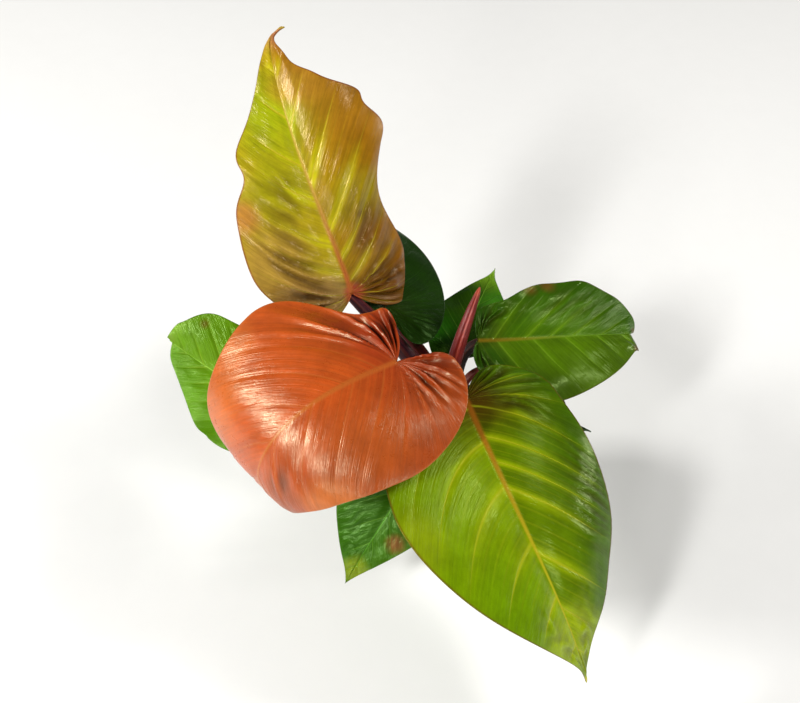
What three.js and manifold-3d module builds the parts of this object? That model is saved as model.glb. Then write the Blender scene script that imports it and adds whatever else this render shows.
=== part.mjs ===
// A potted philodendron: nine heart-shaped leaves around one short leaning stem, in a plain round pot.
// Millimetres, +Z up. The origin is the middle of the pot's underside, and -Y is the side seen first.

import * as THREE from "three";
import { mergeVertices } from "three/addons/utils/BufferGeometryUtils.js";
import Module from "manifold-3d";

const SEAT_GAP = 0.3;

const POT = {
  height: 110, baseRadius: 45, neckRadius: 57, rimRadius: 60, rimHeight: 12, wall: 1.8, floor: 2.4,
  edge: 1.2, segments: 40, drainHoles: 6, drainRadius: 4, drainCircle: 29,
};
const SOIL = { top: 96, unevenness: 1.6, holeRadius: 13, holeFloor: 52, segments: 36 };
const STEM = {
  radius: 12, footRadius: 11.5, scarDepth: 0.9, scarSpacing: 9, sides: 14, steps: 30,
  path: [[0, 0, SOIL.holeFloor + SEAT_GAP], [0, 0, 125], [-4, 2, 130], [-12, 5, 170]],
};
const BLADE = {
  thickness: 0.9, midribDepth: 3.2, midribWidth: 0.07, veinLift: 0.12,
  widestAt: 0.45, fanEnd: 0.28, midribSteps: 60, hookStart: 0.88,
};
const PETIOLE = { sides: 8, steps: 14, flattening: 0.82 };

const BLADE_ROWS = [
  0, 0.03, 0.07, 0.12, 0.17, 0.22, 0.28, 0.31, 0.35, 0.40, 0.45, 0.50, 0.55,
  0.60, 0.65, 0.70, 0.75, 0.80, 0.85, 0.89, 0.93, 0.965, 1,
];
const BLADE_COLUMNS = [0, BLADE.midribWidth, 0.4, 0.75, 1];

// Each leaf: base is where blade and petiole meet, in mm. Heading 0 is +X and counts anticlockwise seen
// from above, pitch is upwards and roll lifts the right half, each from the base to the tip in degrees.
// A half's sizes are fractions of the length: width, the place where it is widest, the sinus, the two
// shoulder reaches and dents [place along the margin, spread, depth]. cup is its slope in degrees beside
// the midrib and at the margin, wave its ripple in mm with its phase, lobeLift the rise of its basal lobe.
const LEAVES = [
  {
    name: "orange", color: [0.66, 0.15, 0.035], roughness: 0.35, length: 198, base: [-50.9, -46.5, 268],
    heading: [210, 217], pitch: [4, -190], bend: 2.08, roll: [1, 5], tip: [0.058, 0.172], waves: 2.94,
    scallop: 0.038,
    right: {
      width: 0.465, widest: 0.348, sinus: [0.252, 0.271], shoulder: [0.208, 0.332], cup: [2, -8],
      wave: [1.9, 0.17], lobeLift: 3.2,
      dents: [[0.1, 0.075, 0.039], [0.25, 0.075, -0.075]],
    },
    left: {
      width: 0.403, widest: 0.217, sinus: [0.103, 0.415], shoulder: [0.25, 0.389], cup: [2, -44],
      wave: [0.2, 0.33], lobeLift: 2.8,
      dents: [[0.1, 0.075, -0.036], [0.25, 0.075, 0.009], [0.6, 0.075, -0.018]],
    },
    petiole: { from: [232, 157], leave: 70, arrive: 50, radius: [5.2, 3.6], reach: [45, 30] },
  },
  {
    name: "bronze", color: [0.42, 0.31, 0.04], roughness: 0.35, length: 216, base: [-85.3, 41.7, 242.8],
    heading: [138, 96], pitch: [73, 17], bend: 0.87, roll: [1, 12], tip: [0.028, 0.319], waves: 4,
    hook: [-81, -5], scallop: 0.026,
    right: {
      width: 0.253, widest: 0.467, sinus: [0.279, 0.391], shoulder: [0.392, 0.375], cup: [30, -21],
      wave: [3.1, 0.24], lobeLift: 0.2,
      dents: [
        [0.1, 0.05, 0.029], [0.24, 0.05, -0.014], [0.38, 0.05, -0.027], [0.48, 0.05, 0.049],
        [0.6, 0.05, 0.059], [0.7, 0.05, -0.007], [0.9, 0.05, 0.012],
      ],
    },
    left: {
      width: 0.293, widest: 0.308, sinus: [0.17, 0.175], shoulder: [0.26, 0.257], cup: [6, -18],
      wave: [5.1, -0.26], lobeLift: -1,
      dents: [
        [0.1, 0.05, 0.052], [0.38, 0.05, 0.009], [0.6, 0.05, -0.048], [0.7, 0.05, 0.008],
        [0.9, 0.05, 0.008],
      ],
    },
    petiole: { from: [148, 153], leave: 78, arrive: -18, radius: [5.2, 3.8], reach: [60, 10] },
  },
  {
    name: "lime", color: [0.16, 0.32, 0.02], roughness: 0.35, length: 242, base: [-1.3, -43.8, 221.9],
    heading: [-69, -42], pitch: [-14, -73], bend: 1.07, roll: [-3, 1], tip: [-0.002, 0.184], waves: 2.4,
    right: {
      width: 0.353, widest: 0.252, sinus: [0.221, 0.154], shoulder: [0.127, 0.254], cup: [14, 5],
      wave: [0.2, 0.17], lobeLift: -0.5,
      dents: [[0.25, 0.06, 0.042]],
    },
    left: {
      width: 0.331, widest: 0.341, sinus: [0.104, 0.207], shoulder: [0.326, 0.417], cup: [6, -27],
      wave: [0.8, 0.25], lobeLift: -0.1,
      dents: [[0.25, 0.06, 0.034]],
    },
    petiole: { from: [287, 145], leave: 60, arrive: 50, radius: [5.2, 3.8], reach: [35, 25] },
  },
  {
    name: "right", color: [0.05, 0.2, 0.015], roughness: 0.3, length: 147, base: [11.4, 29.7, 201],
    heading: [3, 26], pitch: [-2, -30], bend: 1.5, roll: [-13, -22], tip: [0.08, -0.034], waves: 3,
    notch: 0.1,
    right: {
      width: 0.371, widest: 0.274, sinus: [0.12, 0.11], shoulder: [0.19, 0.243], cup: [7, -10],
      wave: [1.9, 0.07], lobeLift: 0.5,
      dents: [[0.94, 0.06, 0.06]],
    },
    left: {
      width: 0.295, widest: 0.441, sinus: [0.215, 0.081], shoulder: [0.15, 0.408], cup: [17, 2],
      wave: [0.8, 0.58], lobeLift: -0.9,
      dents: [
        [0.1, 0.06, 0.034], [0.25, 0.06, -0.021], [0.4, 0.06, 0.011], [0.55, 0.06, 0.028],
        [0.94, 0.06, -0.016],
      ],
    },
    petiole: { from: [67, 159], leave: 63, arrive: 29, radius: [5, 4], reach: [27, 9] },
  },
  {
    name: "dark", color: [0.006, 0.06, 0.003], roughness: 0.35, length: 169, base: [-60.5, 51.8, 216.9],
    heading: [101, 105], pitch: [3, -26], bend: 1.21, roll: [-17, -18], tip: [0.035, 0.22], waves: 3.3,
    right: {
      width: 0.34, widest: 0.2, sinus: [0.112, 0.43], shoulder: [0.26, 0.29], cup: [-1, -9],
      wave: [1.4, 0.28], lobeLift: -2.4, dents: [],
    },
    left: {
      width: 0.33, widest: 0.34, sinus: [0.078, 0.17], shoulder: [0.19, 0.31], cup: [17, 5],
      wave: [2.1, 0.23], lobeLift: 0.3, dents: [],
    },
    petiole: { from: [108, 143], leave: 54, arrive: 68, radius: [4.8, 3.4], reach: [48, 8] },
  },
  {
    name: "back", color: [0.01, 0.1, 0.004], roughness: 0.35, length: 102, base: [-4.2, 41.4, 172.4],
    heading: [68, 70], pitch: [4, -7], bend: 1.23, roll: [2, 1], tip: [0.04, 0.28], waves: 3.8,
    right: {
      width: 0.34, widest: 0.27, sinus: [0.06, 0.14], shoulder: [0.12, 0.26], cup: [11, 8],
      wave: [1.2, 0.1], lobeLift: 0.4, dents: [],
    },
    left: {
      width: 0.31, widest: 0.29, sinus: [0.07, 0.34], shoulder: [0.22, 0.29], cup: [15, -16],
      wave: [2.2, 0.29], lobeLift: -0.4, dents: [],
    },
    petiole: { from: [101, 117], leave: 56, arrive: 55, radius: [4.6, 3.2], reach: [26, 18] },
  },
  {
    name: "left", color: [0.1, 0.32, 0.025], roughness: 0.4, length: 126, base: [-130.2, -16.1, 158.1],
    heading: [150, 142], pitch: [9, 5], bend: 1.29, roll: [14, 33], tip: [0.014, -0.089], waves: 3.6,
    notch: 0.042, scallop: -0.042,
    right: {
      width: 0.357, widest: 0.512, sinus: [0.075, 0.37], shoulder: [0.225, 0.513], cup: [14, -20],
      wave: [0.9, 0.39], lobeLift: -3.7,
      dents: [
        [0.42, 0.05, -0.034], [0.6, 0.05, 0.008], [0.72, 0.05, -0.03], [0.84, 0.05, -0.062],
        [0.93, 0.05, -0.015],
      ],
    },
    left: {
      width: 0.373, widest: 0.38, sinus: [0.069, 0.347], shoulder: [0.276, 0.1], cup: [-1, 6],
      wave: [3, 0.6], lobeLift: -0.3,
      dents: [[0.42, 0.05, 0.014], [0.84, 0.05, 0.006], [0.93, 0.05, -0.029]],
    },
    petiole: { from: [190, 129], leave: 40, arrive: 30, radius: [4.8, 3.4], reach: [40, 35] },
  },
  {
    name: "front", color: [0.03, 0.18, 0.01], roughness: 0.3, length: 135, base: [-20.4, -29.9, 153.4],
    heading: [236, 221], pitch: [-9, -53], bend: 0.69, roll: [6, 15], tip: [0.03, 0.13], waves: 3.5,
    right: {
      width: 0.35, widest: 0.34, sinus: [0.107, 0.31], shoulder: [0.24, 0.35], cup: [16, -10],
      wave: [1.9, 0.13], lobeLift: -1.2, dents: [],
    },
    left: {
      width: 0.31, widest: 0.21, sinus: [0.103, 0.28], shoulder: [0.21, 0.32], cup: [6, -10],
      wave: [2.7, 0.18], lobeLift: 0.3, dents: [],
    },
    petiole: { from: [255, 122], leave: 50, arrive: 50, radius: [4.6, 3.2], reach: [16, 12] },
  },
  {
    name: "under", color: [0.012, 0.1, 0.006], roughness: 0.4, length: 87, base: [30, 27, 168],
    heading: [-48, -20], pitch: [2, -21], bend: 0.68, roll: [1, 2], tip: [0.019, 0.259], waves: 2.9,
    right: {
      width: 0.313, widest: 0.282, sinus: [0.1, 0.31], shoulder: [0.22, 0.302], cup: [8, -10],
      wave: [2, 0.2], lobeLift: 0,
      dents: [],
    },
    left: {
      width: 0.293, widest: 0.258, sinus: [0.098, 0.3], shoulder: [0.22, 0.278], cup: [6, -13],
      wave: [2, 0.18], lobeLift: 0.2,
      dents: [[0.85, 0.05, -0.035], [0.94, 0.05, -0.037]],
    },
    petiole: { from: [80, 132], leave: 49, arrive: 13, radius: [4, 2.4], reach: [30, 22] },
  },
];

const SHEATH = {
  path: [[-10, 11, 196], [1, 31, 218], [12, 52.5, 237.3]],
  radii: [5.6, 5.7, 5.5, 4.9, 3.8, 1.4], sides: 8, steps: 16, flattening: 0.75,
};

const PETIOLE_COLORS = {
  orange: 0x7a2a14, bronze: 0x251428, lime: 0x4a1e0e, right: 0x2e1a1c, dark: 0x4c1014,
  back: 0x2a3a14, left: 0x5a4a1c, front: 0x4a2a18, under: 0x6e1018,
};

const wasm = await Module();
wasm.setup();

const radians = THREE.MathUtils.degToRad;
const clamp = THREE.MathUtils.clamp;
const lerp = THREE.MathUtils.lerp;
const vec = (point) => new THREE.Vector3(...point);

// A closed mesh's geometry with shared corners and without the flat triangles of its poles.
function closed(geometry) {
  geometry.deleteAttribute("normal");
  geometry.deleteAttribute("uv");
  const merged = mergeVertices(geometry, 1e-4);
  const index = Array.from(merged.index.array);
  const kept = [];
  for (let i = 0; i < index.length; i += 3) {
    const [a, b, c] = index.slice(i, i + 3);
    if (a !== b && b !== c && c !== a) kept.push(a, b, c);
  }
  merged.setIndex(kept);
  merged.computeVertexNormals();
  return merged;
}

function toSolid(geometry) {
  const mesh = new wasm.Mesh({
    numProp: 3,
    vertProperties: new Float32Array(geometry.attributes.position.array),
    triVerts: new Uint32Array(geometry.index.array),
  });
  return new wasm.Manifold(mesh);
}

function toGeometry(solid) {
  const mesh = solid.getMesh();
  const geometry = new THREE.BufferGeometry();
  geometry.setAttribute("position", new THREE.BufferAttribute(new Float32Array(mesh.vertProperties), 3));
  geometry.setIndex(Array.from(mesh.triVerts));
  geometry.computeVertexNormals();
  return geometry;
}

function indexed(points, triangles) {
  const geometry = new THREE.BufferGeometry();
  const numbers = points.flatMap((p) => [p.x, p.y, p.z]);
  geometry.setAttribute("position", new THREE.Float32BufferAttribute(numbers, 3));
  geometry.setIndex(triangles.flat());
  geometry.computeVertexNormals();
  return geometry;
}

function piece(name, geometry, color, roughness) {
  const tint = Array.isArray(color) ? new THREE.Color(...color) : new THREE.Color(color);
  const material = new THREE.MeshStandardMaterial({ color: tint, roughness, metalness: 0 });
  const mesh = new THREE.Mesh(geometry, material);
  mesh.name = name;
  return mesh;
}

// A profile of [radius, height] turned about +Z, from one point on the axis to the other.
function turned(profile, segments) {
  const lathe = new THREE.LatheGeometry(profile.map(([r, z]) => new THREE.Vector2(r, z)), segments);
  lathe.rotateX(Math.PI / 2);
  return closed(lathe);
}

// Closed skin over rings of equal length, with flat ends fanned from each end ring's first corner.
function skin(rings) {
  const count = rings[0].length;
  const triangles = [];
  for (let i = 0; i < rings.length - 1; i++) {
    for (let j = 0; j < count; j++) {
      const a = i * count + j;
      const b = i * count + (j + 1) % count;
      triangles.push([a, b, b + count], [a, b + count, a + count]);
    }
  }
  const last = (rings.length - 1) * count;
  for (let j = 1; j < count - 1; j++) {
    triangles.push([0, j + 1, j], [last, last + j, last + j + 1]);
  }
  return indexed(rings.flat(), triangles);
}

// Rings of an oval section along a curve. Each end may be cut by a plane with the given normal.
function sweep(curve, { sides, steps, flattening, radiusAt, startNormal, endNormal }) {
  const rings = [];
  let across = new THREE.Vector3();
  for (let i = 0; i <= steps; i++) {
    const t = i / steps;
    const centre = curve.getPoint(t);
    const along = curve.getTangent(t);
    if (i === 0) across.crossVectors(along, Math.abs(along.z) > 0.98 ? vec([0, 1, 0]) : vec([0, 0, 1]));
    across.addScaledVector(along, -across.dot(along)).normalize();
    const up = new THREE.Vector3().crossVectors(across, along).normalize();
    const radius = radiusAt(t);
    const ring = [];
    for (let j = 0; j < sides; j++) {
      const angle = (2 * Math.PI * j) / sides;
      const point = centre.clone();
      point.addScaledVector(across, radius * Math.cos(angle));
      point.addScaledVector(up, -radius * flattening * Math.sin(angle));
      const cut = i === 0 ? startNormal : i === steps ? endNormal : null;
      if (cut) {
        const slip = cut.dot(point.clone().sub(centre)) / cut.dot(along);
        point.addScaledVector(along, -slip);
      }
      ring.push(point);
    }
    rings.push(ring);
  }
  return skin(rings);
}

function makePot() {
  const p = POT;
  const rimFloor = p.height - p.rimHeight;
  const inner = (r) => r - p.wall;
  const profile = [
    [0, 0], [p.baseRadius - p.edge, 0], [p.baseRadius, p.edge], [p.neckRadius, rimFloor],
    [p.rimRadius - p.edge / 2, rimFloor], [p.rimRadius, rimFloor + p.edge],
    [p.rimRadius, p.height - p.edge], [p.rimRadius - p.edge, p.height],
    [inner(p.rimRadius) + p.edge / 3, p.height], [inner(p.rimRadius), p.height - p.edge],
    [inner(p.rimRadius), rimFloor + p.edge + p.wall], [inner(p.neckRadius), rimFloor],
    [inner(p.baseRadius), p.floor], [0, p.floor],
  ];
  let shell = toSolid(turned(profile, p.segments));
  for (let i = 0; i < p.drainHoles; i++) {
    const angle = (2 * Math.PI * i) / p.drainHoles;
    const cutter = wasm.Manifold.cylinder(p.floor * 3, p.drainRadius, p.drainRadius, 12, true)
      .translate([p.drainCircle * Math.cos(angle), p.drainCircle * Math.sin(angle), p.floor / 2]);
    shell = shell.subtract(cutter);
  }
  return piece("pot", toGeometry(shell), 0x2b2a29, 0.55);
}

// The pot's inner radius at a height, less the gap that lies all around the soil.
function soilRadius(z) {
  const rise = (z - POT.floor) / (POT.height - POT.rimHeight - POT.floor);
  return lerp(POT.baseRadius, POT.neckRadius, rise) - POT.wall - SEAT_GAP;
}

function makeSoil() {
  const bottom = POT.floor + SEAT_GAP;
  const profile = [
    [0, bottom], [soilRadius(bottom) - 1, bottom], [soilRadius(bottom + 1), bottom + 1],
    [soilRadius(SOIL.top - 2), SOIL.top - 2], [soilRadius(SOIL.top - 2) - 2, SOIL.top],
    [44, SOIL.top + 0.5], [34, SOIL.top + 1], [24, SOIL.top + 1.6], [SOIL.holeRadius + 2, SOIL.top + 2],
    [SOIL.holeRadius, SOIL.top + 1], [SOIL.holeRadius, SOIL.holeFloor], [0, SOIL.holeFloor],
  ];
  const soil = turned(profile, SOIL.segments);
  const spots = soil.attributes.position;
  for (let i = 0; i < spots.count; i++) {
    const x = spots.getX(i);
    const y = spots.getY(i);
    const r = Math.hypot(x, y);
    if (spots.getZ(i) > SOIL.top - 0.5 && r > SOIL.holeRadius + 1 && r < 50) {
      const bump = Math.sin(0.31 * x + 1.3) * Math.cos(0.27 * y - 0.6) + 0.6 * Math.sin(0.55 * (x - y));
      spots.setZ(i, spots.getZ(i) + SOIL.unevenness * bump);
    }
  }
  soil.computeVertexNormals();
  return piece("soil", soil, 0x3a2a1e, 0.95);
}

const stemCurve = new THREE.CubicBezierCurve3(...STEM.path.map(vec));

function stemRadius(z) {
  const inSoil = clamp((z - SOIL.top) / 10, 0, 1);
  const scar = 0.5 + 0.5 * Math.cos((2 * Math.PI * z) / STEM.scarSpacing);
  return lerp(STEM.footRadius, STEM.radius - STEM.scarDepth * scar ** 4, inSoil);
}

function makeStem() {
  const top = STEM.path[3][2];
  const radiusAt = (t) => {
    const z = stemCurve.getPoint(t).z;
    const shoulder = Math.sqrt(clamp((top + 3 - z) / 12, 0.1, 1));
    return stemRadius(z) * shoulder;
  };
  const geometry = sweep(stemCurve, { sides: STEM.sides, steps: STEM.steps, flattening: 1, radiusAt });
  return piece("stem", geometry, 0x4a3422, 0.7);
}

function bezier(points, t) {
  const curve = new THREE.CubicBezierCurve(...points.map(([x, y]) => new THREE.Vector2(x, y)));
  return curve.getPoint(t);
}

// The margin of a half blade, from the sinus at 0 over the widest place to the tip at 1.
function marginPoint(leaf, half, a) {
  const end = 1 - (leaf.notch ?? 0);
  const [sinusOut, sinusBack] = half.sinus;
  const [lower, upper] = half.shoulder;
  const wide = [half.width, half.widest];
  const point = a < BLADE.widestAt
    ? bezier([[0, 0], [sinusOut, -sinusBack], [half.width, half.widest - lower], wide], a / BLADE.widestAt)
    : bezier([wide, [half.width, half.widest + upper], [leaf.tip[0], 1 - leaf.tip[1]], [0, end]],
      (a - BLADE.widestAt) / (1 - BLADE.widestAt));
  const ripple = Math.sin(2 * Math.PI * (leaf.waves * a + half.wave[1]));
  point.x *= 1 + (leaf.scallop ?? 0) * ripple * Math.sin(Math.PI * a);
  const window = clamp(a / 0.06, 0, 1) * clamp((1 - a) / 0.05, 0, 1);
  for (const [place, spread, depth] of half.dents) {
    point.x += depth * window * Math.exp(-(((a - place) / spread) ** 2));
  }
  return point;
}

// Where the vein that ends at margin place a leaves the midrib. The basal lobes' veins fan from the base.
function veinStart(leaf, a) {
  const t = clamp((a - BLADE.fanEnd) / (1 - BLADE.fanEnd), 0, 1);
  return (1 - (leaf.notch ?? 0)) * t ** 1.1;
}

// Directions along the midrib: forward, to the right half and out of the upper face.
function midribAxes(leaf, s) {
  const hook = clamp((s - BLADE.hookStart) / (1 - BLADE.hookStart), 0, 1) ** 1.5;
  const [hookTurn, hookPitch] = leaf.hook ?? [0, 0];
  const heading = radians(lerp(...leaf.heading, s) + hookTurn * hook);
  const pitch = radians(lerp(...leaf.pitch, s ** leaf.bend) + hookPitch * hook);
  const roll = radians(lerp(...leaf.roll, s));
  const forward = vec([
    Math.cos(pitch) * Math.cos(heading), Math.cos(pitch) * Math.sin(heading), Math.sin(pitch),
  ]);
  const level = vec([Math.sin(heading), -Math.cos(heading), 0]);
  const lift = new THREE.Vector3().crossVectors(level, forward);
  const right = level.clone().multiplyScalar(Math.cos(roll)).addScaledVector(lift, Math.sin(roll));
  return { forward, right, up: new THREE.Vector3().crossVectors(right, forward) };
}

function midribStations(leaf) {
  const step = leaf.length / BLADE.midribSteps;
  const place = vec(leaf.base);
  const stations = [];
  for (let i = 0; i <= BLADE.midribSteps; i++) {
    stations.push({ place: place.clone(), ...midribAxes(leaf, i / BLADE.midribSteps) });
    place.addScaledVector(midribAxes(leaf, (i + 0.5) / BLADE.midribSteps).forward, step);
  }
  return stations;
}

function stationAt(stations, s) {
  const at = clamp(s, 0, 1) * BLADE.midribSteps;
  const i = Math.min(Math.floor(at), BLADE.midribSteps - 1);
  const mix = (key) => stations[i][key].clone().lerp(stations[i + 1][key], at - i);
  return { place: mix("place"), forward: mix("forward"), right: mix("right"), up: mix("up") };
}

// A point of the blade's middle surface and its normal, at margin place a and r from midrib to margin.
function bladePoint(leaf, stations, a, r, side) {
  const half = side > 0 ? leaf.right : leaf.left;
  const margin = marginPoint(leaf, half, a);
  const start = veinStart(leaf, a);
  const across = margin.x;
  const ahead = margin.y - start;
  const lift = BLADE.veinLift * Math.abs(across);
  const x = 2 * (1 - r) * r * (0.5 * across + 0.35 * lift) + r * r * across;
  const y = (1 - r) ** 2 * start + 2 * (1 - r) * r * (start + 0.5 * ahead - lift) + r * r * margin.y;

  const { place, forward, right, up } = stationAt(stations, y);
  place.addScaledVector(forward, leaf.length * (Math.min(y, 0) + Math.max(y - 1, 0)));
  const [inner, outer] = half.cup.map(radians);
  const reach = half.width * leaf.length;
  const curl = (outer - inner) / reach;
  const slope = inner + curl * x * leaf.length;
  const out = (Math.sin(slope) - Math.sin(inner)) / curl;
  const rise = (Math.cos(inner) - Math.cos(slope)) / curl;
  const [waveHeight, wavePhase] = half.wave;
  const wave = waveHeight * Math.abs(x / half.width) ** 1.5
    * Math.sin(2 * Math.PI * (leaf.waves * a + wavePhase));
  const lobe = half.lobeLift * clamp(-y / (0.4 * half.sinus[1]), 0, 1.5) ** 2;
  const normal = right.clone().multiplyScalar(-side * Math.sin(slope)).addScaledVector(up, Math.cos(slope));
  place.addScaledVector(right, side * out).addScaledVector(up, rise).addScaledVector(normal, wave + lobe);
  return { point: place, normal: normal.normalize() };
}

// How far the midrib stands out below the blade.
function midribDepth(leaf, a, r) {
  const start = veinStart(leaf, a);
  if (start === 0 || r > BLADE.midribWidth) return 0;
  const depth = BLADE.midribDepth * Math.min(1, leaf.length / 200) * (1 - 0.85 * start);
  return r === 0 ? depth : 0.3 * depth;
}

function makeBlade(leaf) {
  const stations = midribStations(leaf);
  const upper = [];
  const lower = [];
  const corners = new Map();
  const corner = (row, column, side) => {
    const a = BLADE_ROWS[row];
    const r = BLADE_COLUMNS[column];
    const meet = veinStart(leaf, a) === 0 && (column === 0 || a === 0);
    const key = meet ? "base" : a === 1 ? "tip" : column === 0 ? `${row}` : `${row} ${column} ${side}`;
    if (!corners.has(key)) {
      const { point, normal } = bladePoint(leaf, stations, a, meet || a === 1 ? 0 : r, side);
      if (meet || column === 0) normal.copy(stationAt(stations, veinStart(leaf, a)).up);
      corners.set(key, upper.length);
      upper.push(point.clone().addScaledVector(normal, BLADE.thickness / 2));
      lower.push(point.clone().addScaledVector(normal, -BLADE.thickness / 2 - midribDepth(leaf, a, r)));
    }
    return corners.get(key);
  };

  const faces = [];
  const rim = { left: [], right: [] };
  for (const side of [-1, 1]) {
    for (let i = 0; i < BLADE_ROWS.length; i++) {
      const edge = corner(i, BLADE_COLUMNS.length - 1, side);
      rim[side > 0 ? "right" : "left"].push(edge);
      if (i === BLADE_ROWS.length - 1) break;
      for (let j = 0; j < BLADE_COLUMNS.length - 1; j++) {
        const near = [corner(i, j, side), corner(i, j + 1, side)];
        const quad = [...near, corner(i + 1, j + 1, side), corner(i + 1, j, side)];
        if (side < 0) quad.reverse();
        faces.push([quad[0], quad[1], quad[2]], [quad[0], quad[2], quad[3]]);
      }
    }
  }
  const count = upper.length;
  const whole = faces.filter(([a, b, c]) => a !== b && b !== c && c !== a);
  const triangles = whole.flatMap(([a, b, c]) => [[a, b, c], [a + count, c + count, b + count]]);
  const loop = [...rim.right, ...rim.left.reverse().slice(1, -1)];
  loop.forEach((a, i) => {
    const b = loop[(i + 1) % loop.length];
    triangles.push([a, a + count, b + count], [a, b + count, b]);
  });
  return piece(`leaf_${leaf.name}`, indexed([...upper, ...lower], triangles), leaf.color, leaf.roughness);
}

// The stem's centre, axis and outward direction at a height and a heading.
function stemSeat(heading, height) {
  let low = 0;
  let high = 1;
  for (let i = 0; i < 30; i++) {
    const middle = (low + high) / 2;
    if (stemCurve.getPoint(middle).z < height) low = middle;
    else high = middle;
  }
  const axis = stemCurve.getTangent(low);
  const out = vec([Math.cos(radians(heading)), Math.sin(radians(heading)), 0]);
  out.addScaledVector(axis, -out.dot(axis)).normalize();
  return { centre: stemCurve.getPoint(low), axis, out };
}

function makePetiole(leaf) {
  const { from, leave, arrive, radius, reach } = leaf.petiole;
  const { centre, axis, out } = stemSeat(...from);
  const start = centre.addScaledVector(out, STEM.radius + SEAT_GAP);
  const rise = radians(leave);
  const away = out.clone().multiplyScalar(Math.cos(rise)).addScaledVector(axis, Math.sin(rise));

  const { forward, up } = midribAxes(leaf, 0);
  const tilt = radians(arrive);
  const into = forward.clone().multiplyScalar(Math.cos(tilt)).addScaledVector(up, Math.sin(tilt));
  const endRadius = radius[1] * PETIOLE.flattening;
  const end = vec(leaf.base)
    .addScaledVector(forward, endRadius * Math.sin(tilt))
    .addScaledVector(up, -BLADE.thickness / 2 - SEAT_GAP - endRadius * Math.cos(tilt))
    .addScaledVector(into, -SEAT_GAP);
  const curve = new THREE.CubicBezierCurve3(
    start, start.clone().addScaledVector(away, reach[0]), end.clone().addScaledVector(into, -reach[1]), end,
  );
  const geometry = sweep(curve, {
    sides: PETIOLE.sides, steps: PETIOLE.steps, flattening: PETIOLE.flattening,
    radiusAt: (t) => lerp(...radius, t), startNormal: out, endNormal: into,
  });
  return piece(`petiole_${leaf.name}`, geometry, PETIOLE_COLORS[leaf.name], 0.5);
}

function makeSheath() {
  const stemEnd = stemCurve.getTangent(1);
  const foot = stemCurve.getPoint(1).addScaledVector(stemEnd, SEAT_GAP);
  const curve = new THREE.CubicBezierCurve3(foot, ...SHEATH.path.map(vec));
  const radiusAt = (t) => {
    const at = t * (SHEATH.radii.length - 1);
    const i = Math.min(Math.floor(at), SHEATH.radii.length - 2);
    return lerp(SHEATH.radii[i], SHEATH.radii[i + 1], at - i);
  };
  const { sides, steps, flattening } = SHEATH;
  const geometry = sweep(curve, { sides, steps, flattening, radiusAt, startNormal: stemEnd });
  return piece("sheath", geometry, 0xa02c22, 0.45);
}

const philodendron = new THREE.Group();
philodendron.add(makePot(), makeSoil(), makeStem(), makeSheath());
for (const leaf of LEAVES) {
  philodendron.add(makeBlade(leaf), makePetiole(leaf));
}

export default philodendron;
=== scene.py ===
"""Looks of a potted philodendron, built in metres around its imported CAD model.

Every leaf is a fine blade on the CAD leaf's own midrib, outline and cup, with veins, puckers and gloss.
Heading, pitch and roll are in degrees, and heading 0 is +X. Lengths in the plant's tables are in
millimetres, and those of the stage in metres.
"""

import math

import bmesh
import bpy
import numpy as np
from bpy.props import FloatProperty, FloatVectorProperty, IntProperty
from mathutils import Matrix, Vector


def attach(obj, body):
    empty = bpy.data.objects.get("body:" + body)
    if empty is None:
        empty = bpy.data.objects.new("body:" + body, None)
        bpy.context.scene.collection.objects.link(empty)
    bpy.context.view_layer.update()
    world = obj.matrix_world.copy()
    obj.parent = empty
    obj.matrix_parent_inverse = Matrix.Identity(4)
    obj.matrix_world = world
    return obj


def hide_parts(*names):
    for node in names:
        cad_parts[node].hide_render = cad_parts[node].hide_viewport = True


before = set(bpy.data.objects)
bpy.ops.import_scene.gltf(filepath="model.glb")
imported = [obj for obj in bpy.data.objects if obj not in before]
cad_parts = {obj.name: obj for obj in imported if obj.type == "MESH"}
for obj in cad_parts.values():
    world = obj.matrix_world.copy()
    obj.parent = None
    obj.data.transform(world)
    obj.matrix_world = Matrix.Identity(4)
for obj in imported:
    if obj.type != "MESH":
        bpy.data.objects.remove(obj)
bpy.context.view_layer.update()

bl_info = {
    "name": "Potted philodendron",
    "version": (1, 0, 0),
    "blender": (4, 5, 0),
    "location": "3D View > Sidebar > Plant",
    "description": "Builds a potted philodendron with heart-shaped leaves around its CAD frame",
    "category": "Add Mesh",
}

MM = 0.001

POT = {
    "height": 110, "base": 45, "neck": 57, "rim": 60, "rim_height": 12, "wall": 1.8, "floor": 2.4,
    "rounding": 0.8, "holes": 6, "hole_radius": 4, "hole_circle": 29,
}
SOIL_TOP = 96
SOIL_HOLE = {"radius": 13, "floor": 52}
STEM_PATH = [(0, 0, 52.3), (0, 0, 125), (-4, 2, 130), (-12, 5, 170)]
STEM_RADIUS = 12
SCAR_SPACING = 9
STEM_SCARS = (STEM_PATH[3][2] - STEM_PATH[0][2]) / SCAR_SPACING
SHEATH_PATH = [(-10, 11, 196), (1, 31, 218), (12, 52.5, 237.3)]
SHEATH_RADII = [5.6, 5.7, 5.5, 4.9, 3.8, 1.4]

# The sheath's section, in shares of its radius: how flat it is, how deep its seam, how high the keel on each
# side of that and how far from the middle, and how wide the seam and the keels are.
SHEATH = {"flat": 0.75, "seam": 0.16, "keel": 0.1, "keel_at": 0.42, "width": 0.16}

# The gap in mm between touching pieces of the CAD model.
SEAT_GAP = 0.3

BLADE = {
    "thickness": 0.9, "midrib_depth": 3.2, "vein_lift": 0.12, "widest_at": 0.45, "fan_end": 0.28,
    "steps": 60, "hook_start": 0.88,
}
PETIOLE_FLATTENING = 0.82

# A blade of this length in mm or more has the full midrib, and a shorter one a finer midrib.
FULL_LENGTH = 200

# The veins of a left half are counted from here, so that the skin can tell the halves apart.
LEFT_COUNT = 40


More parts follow.
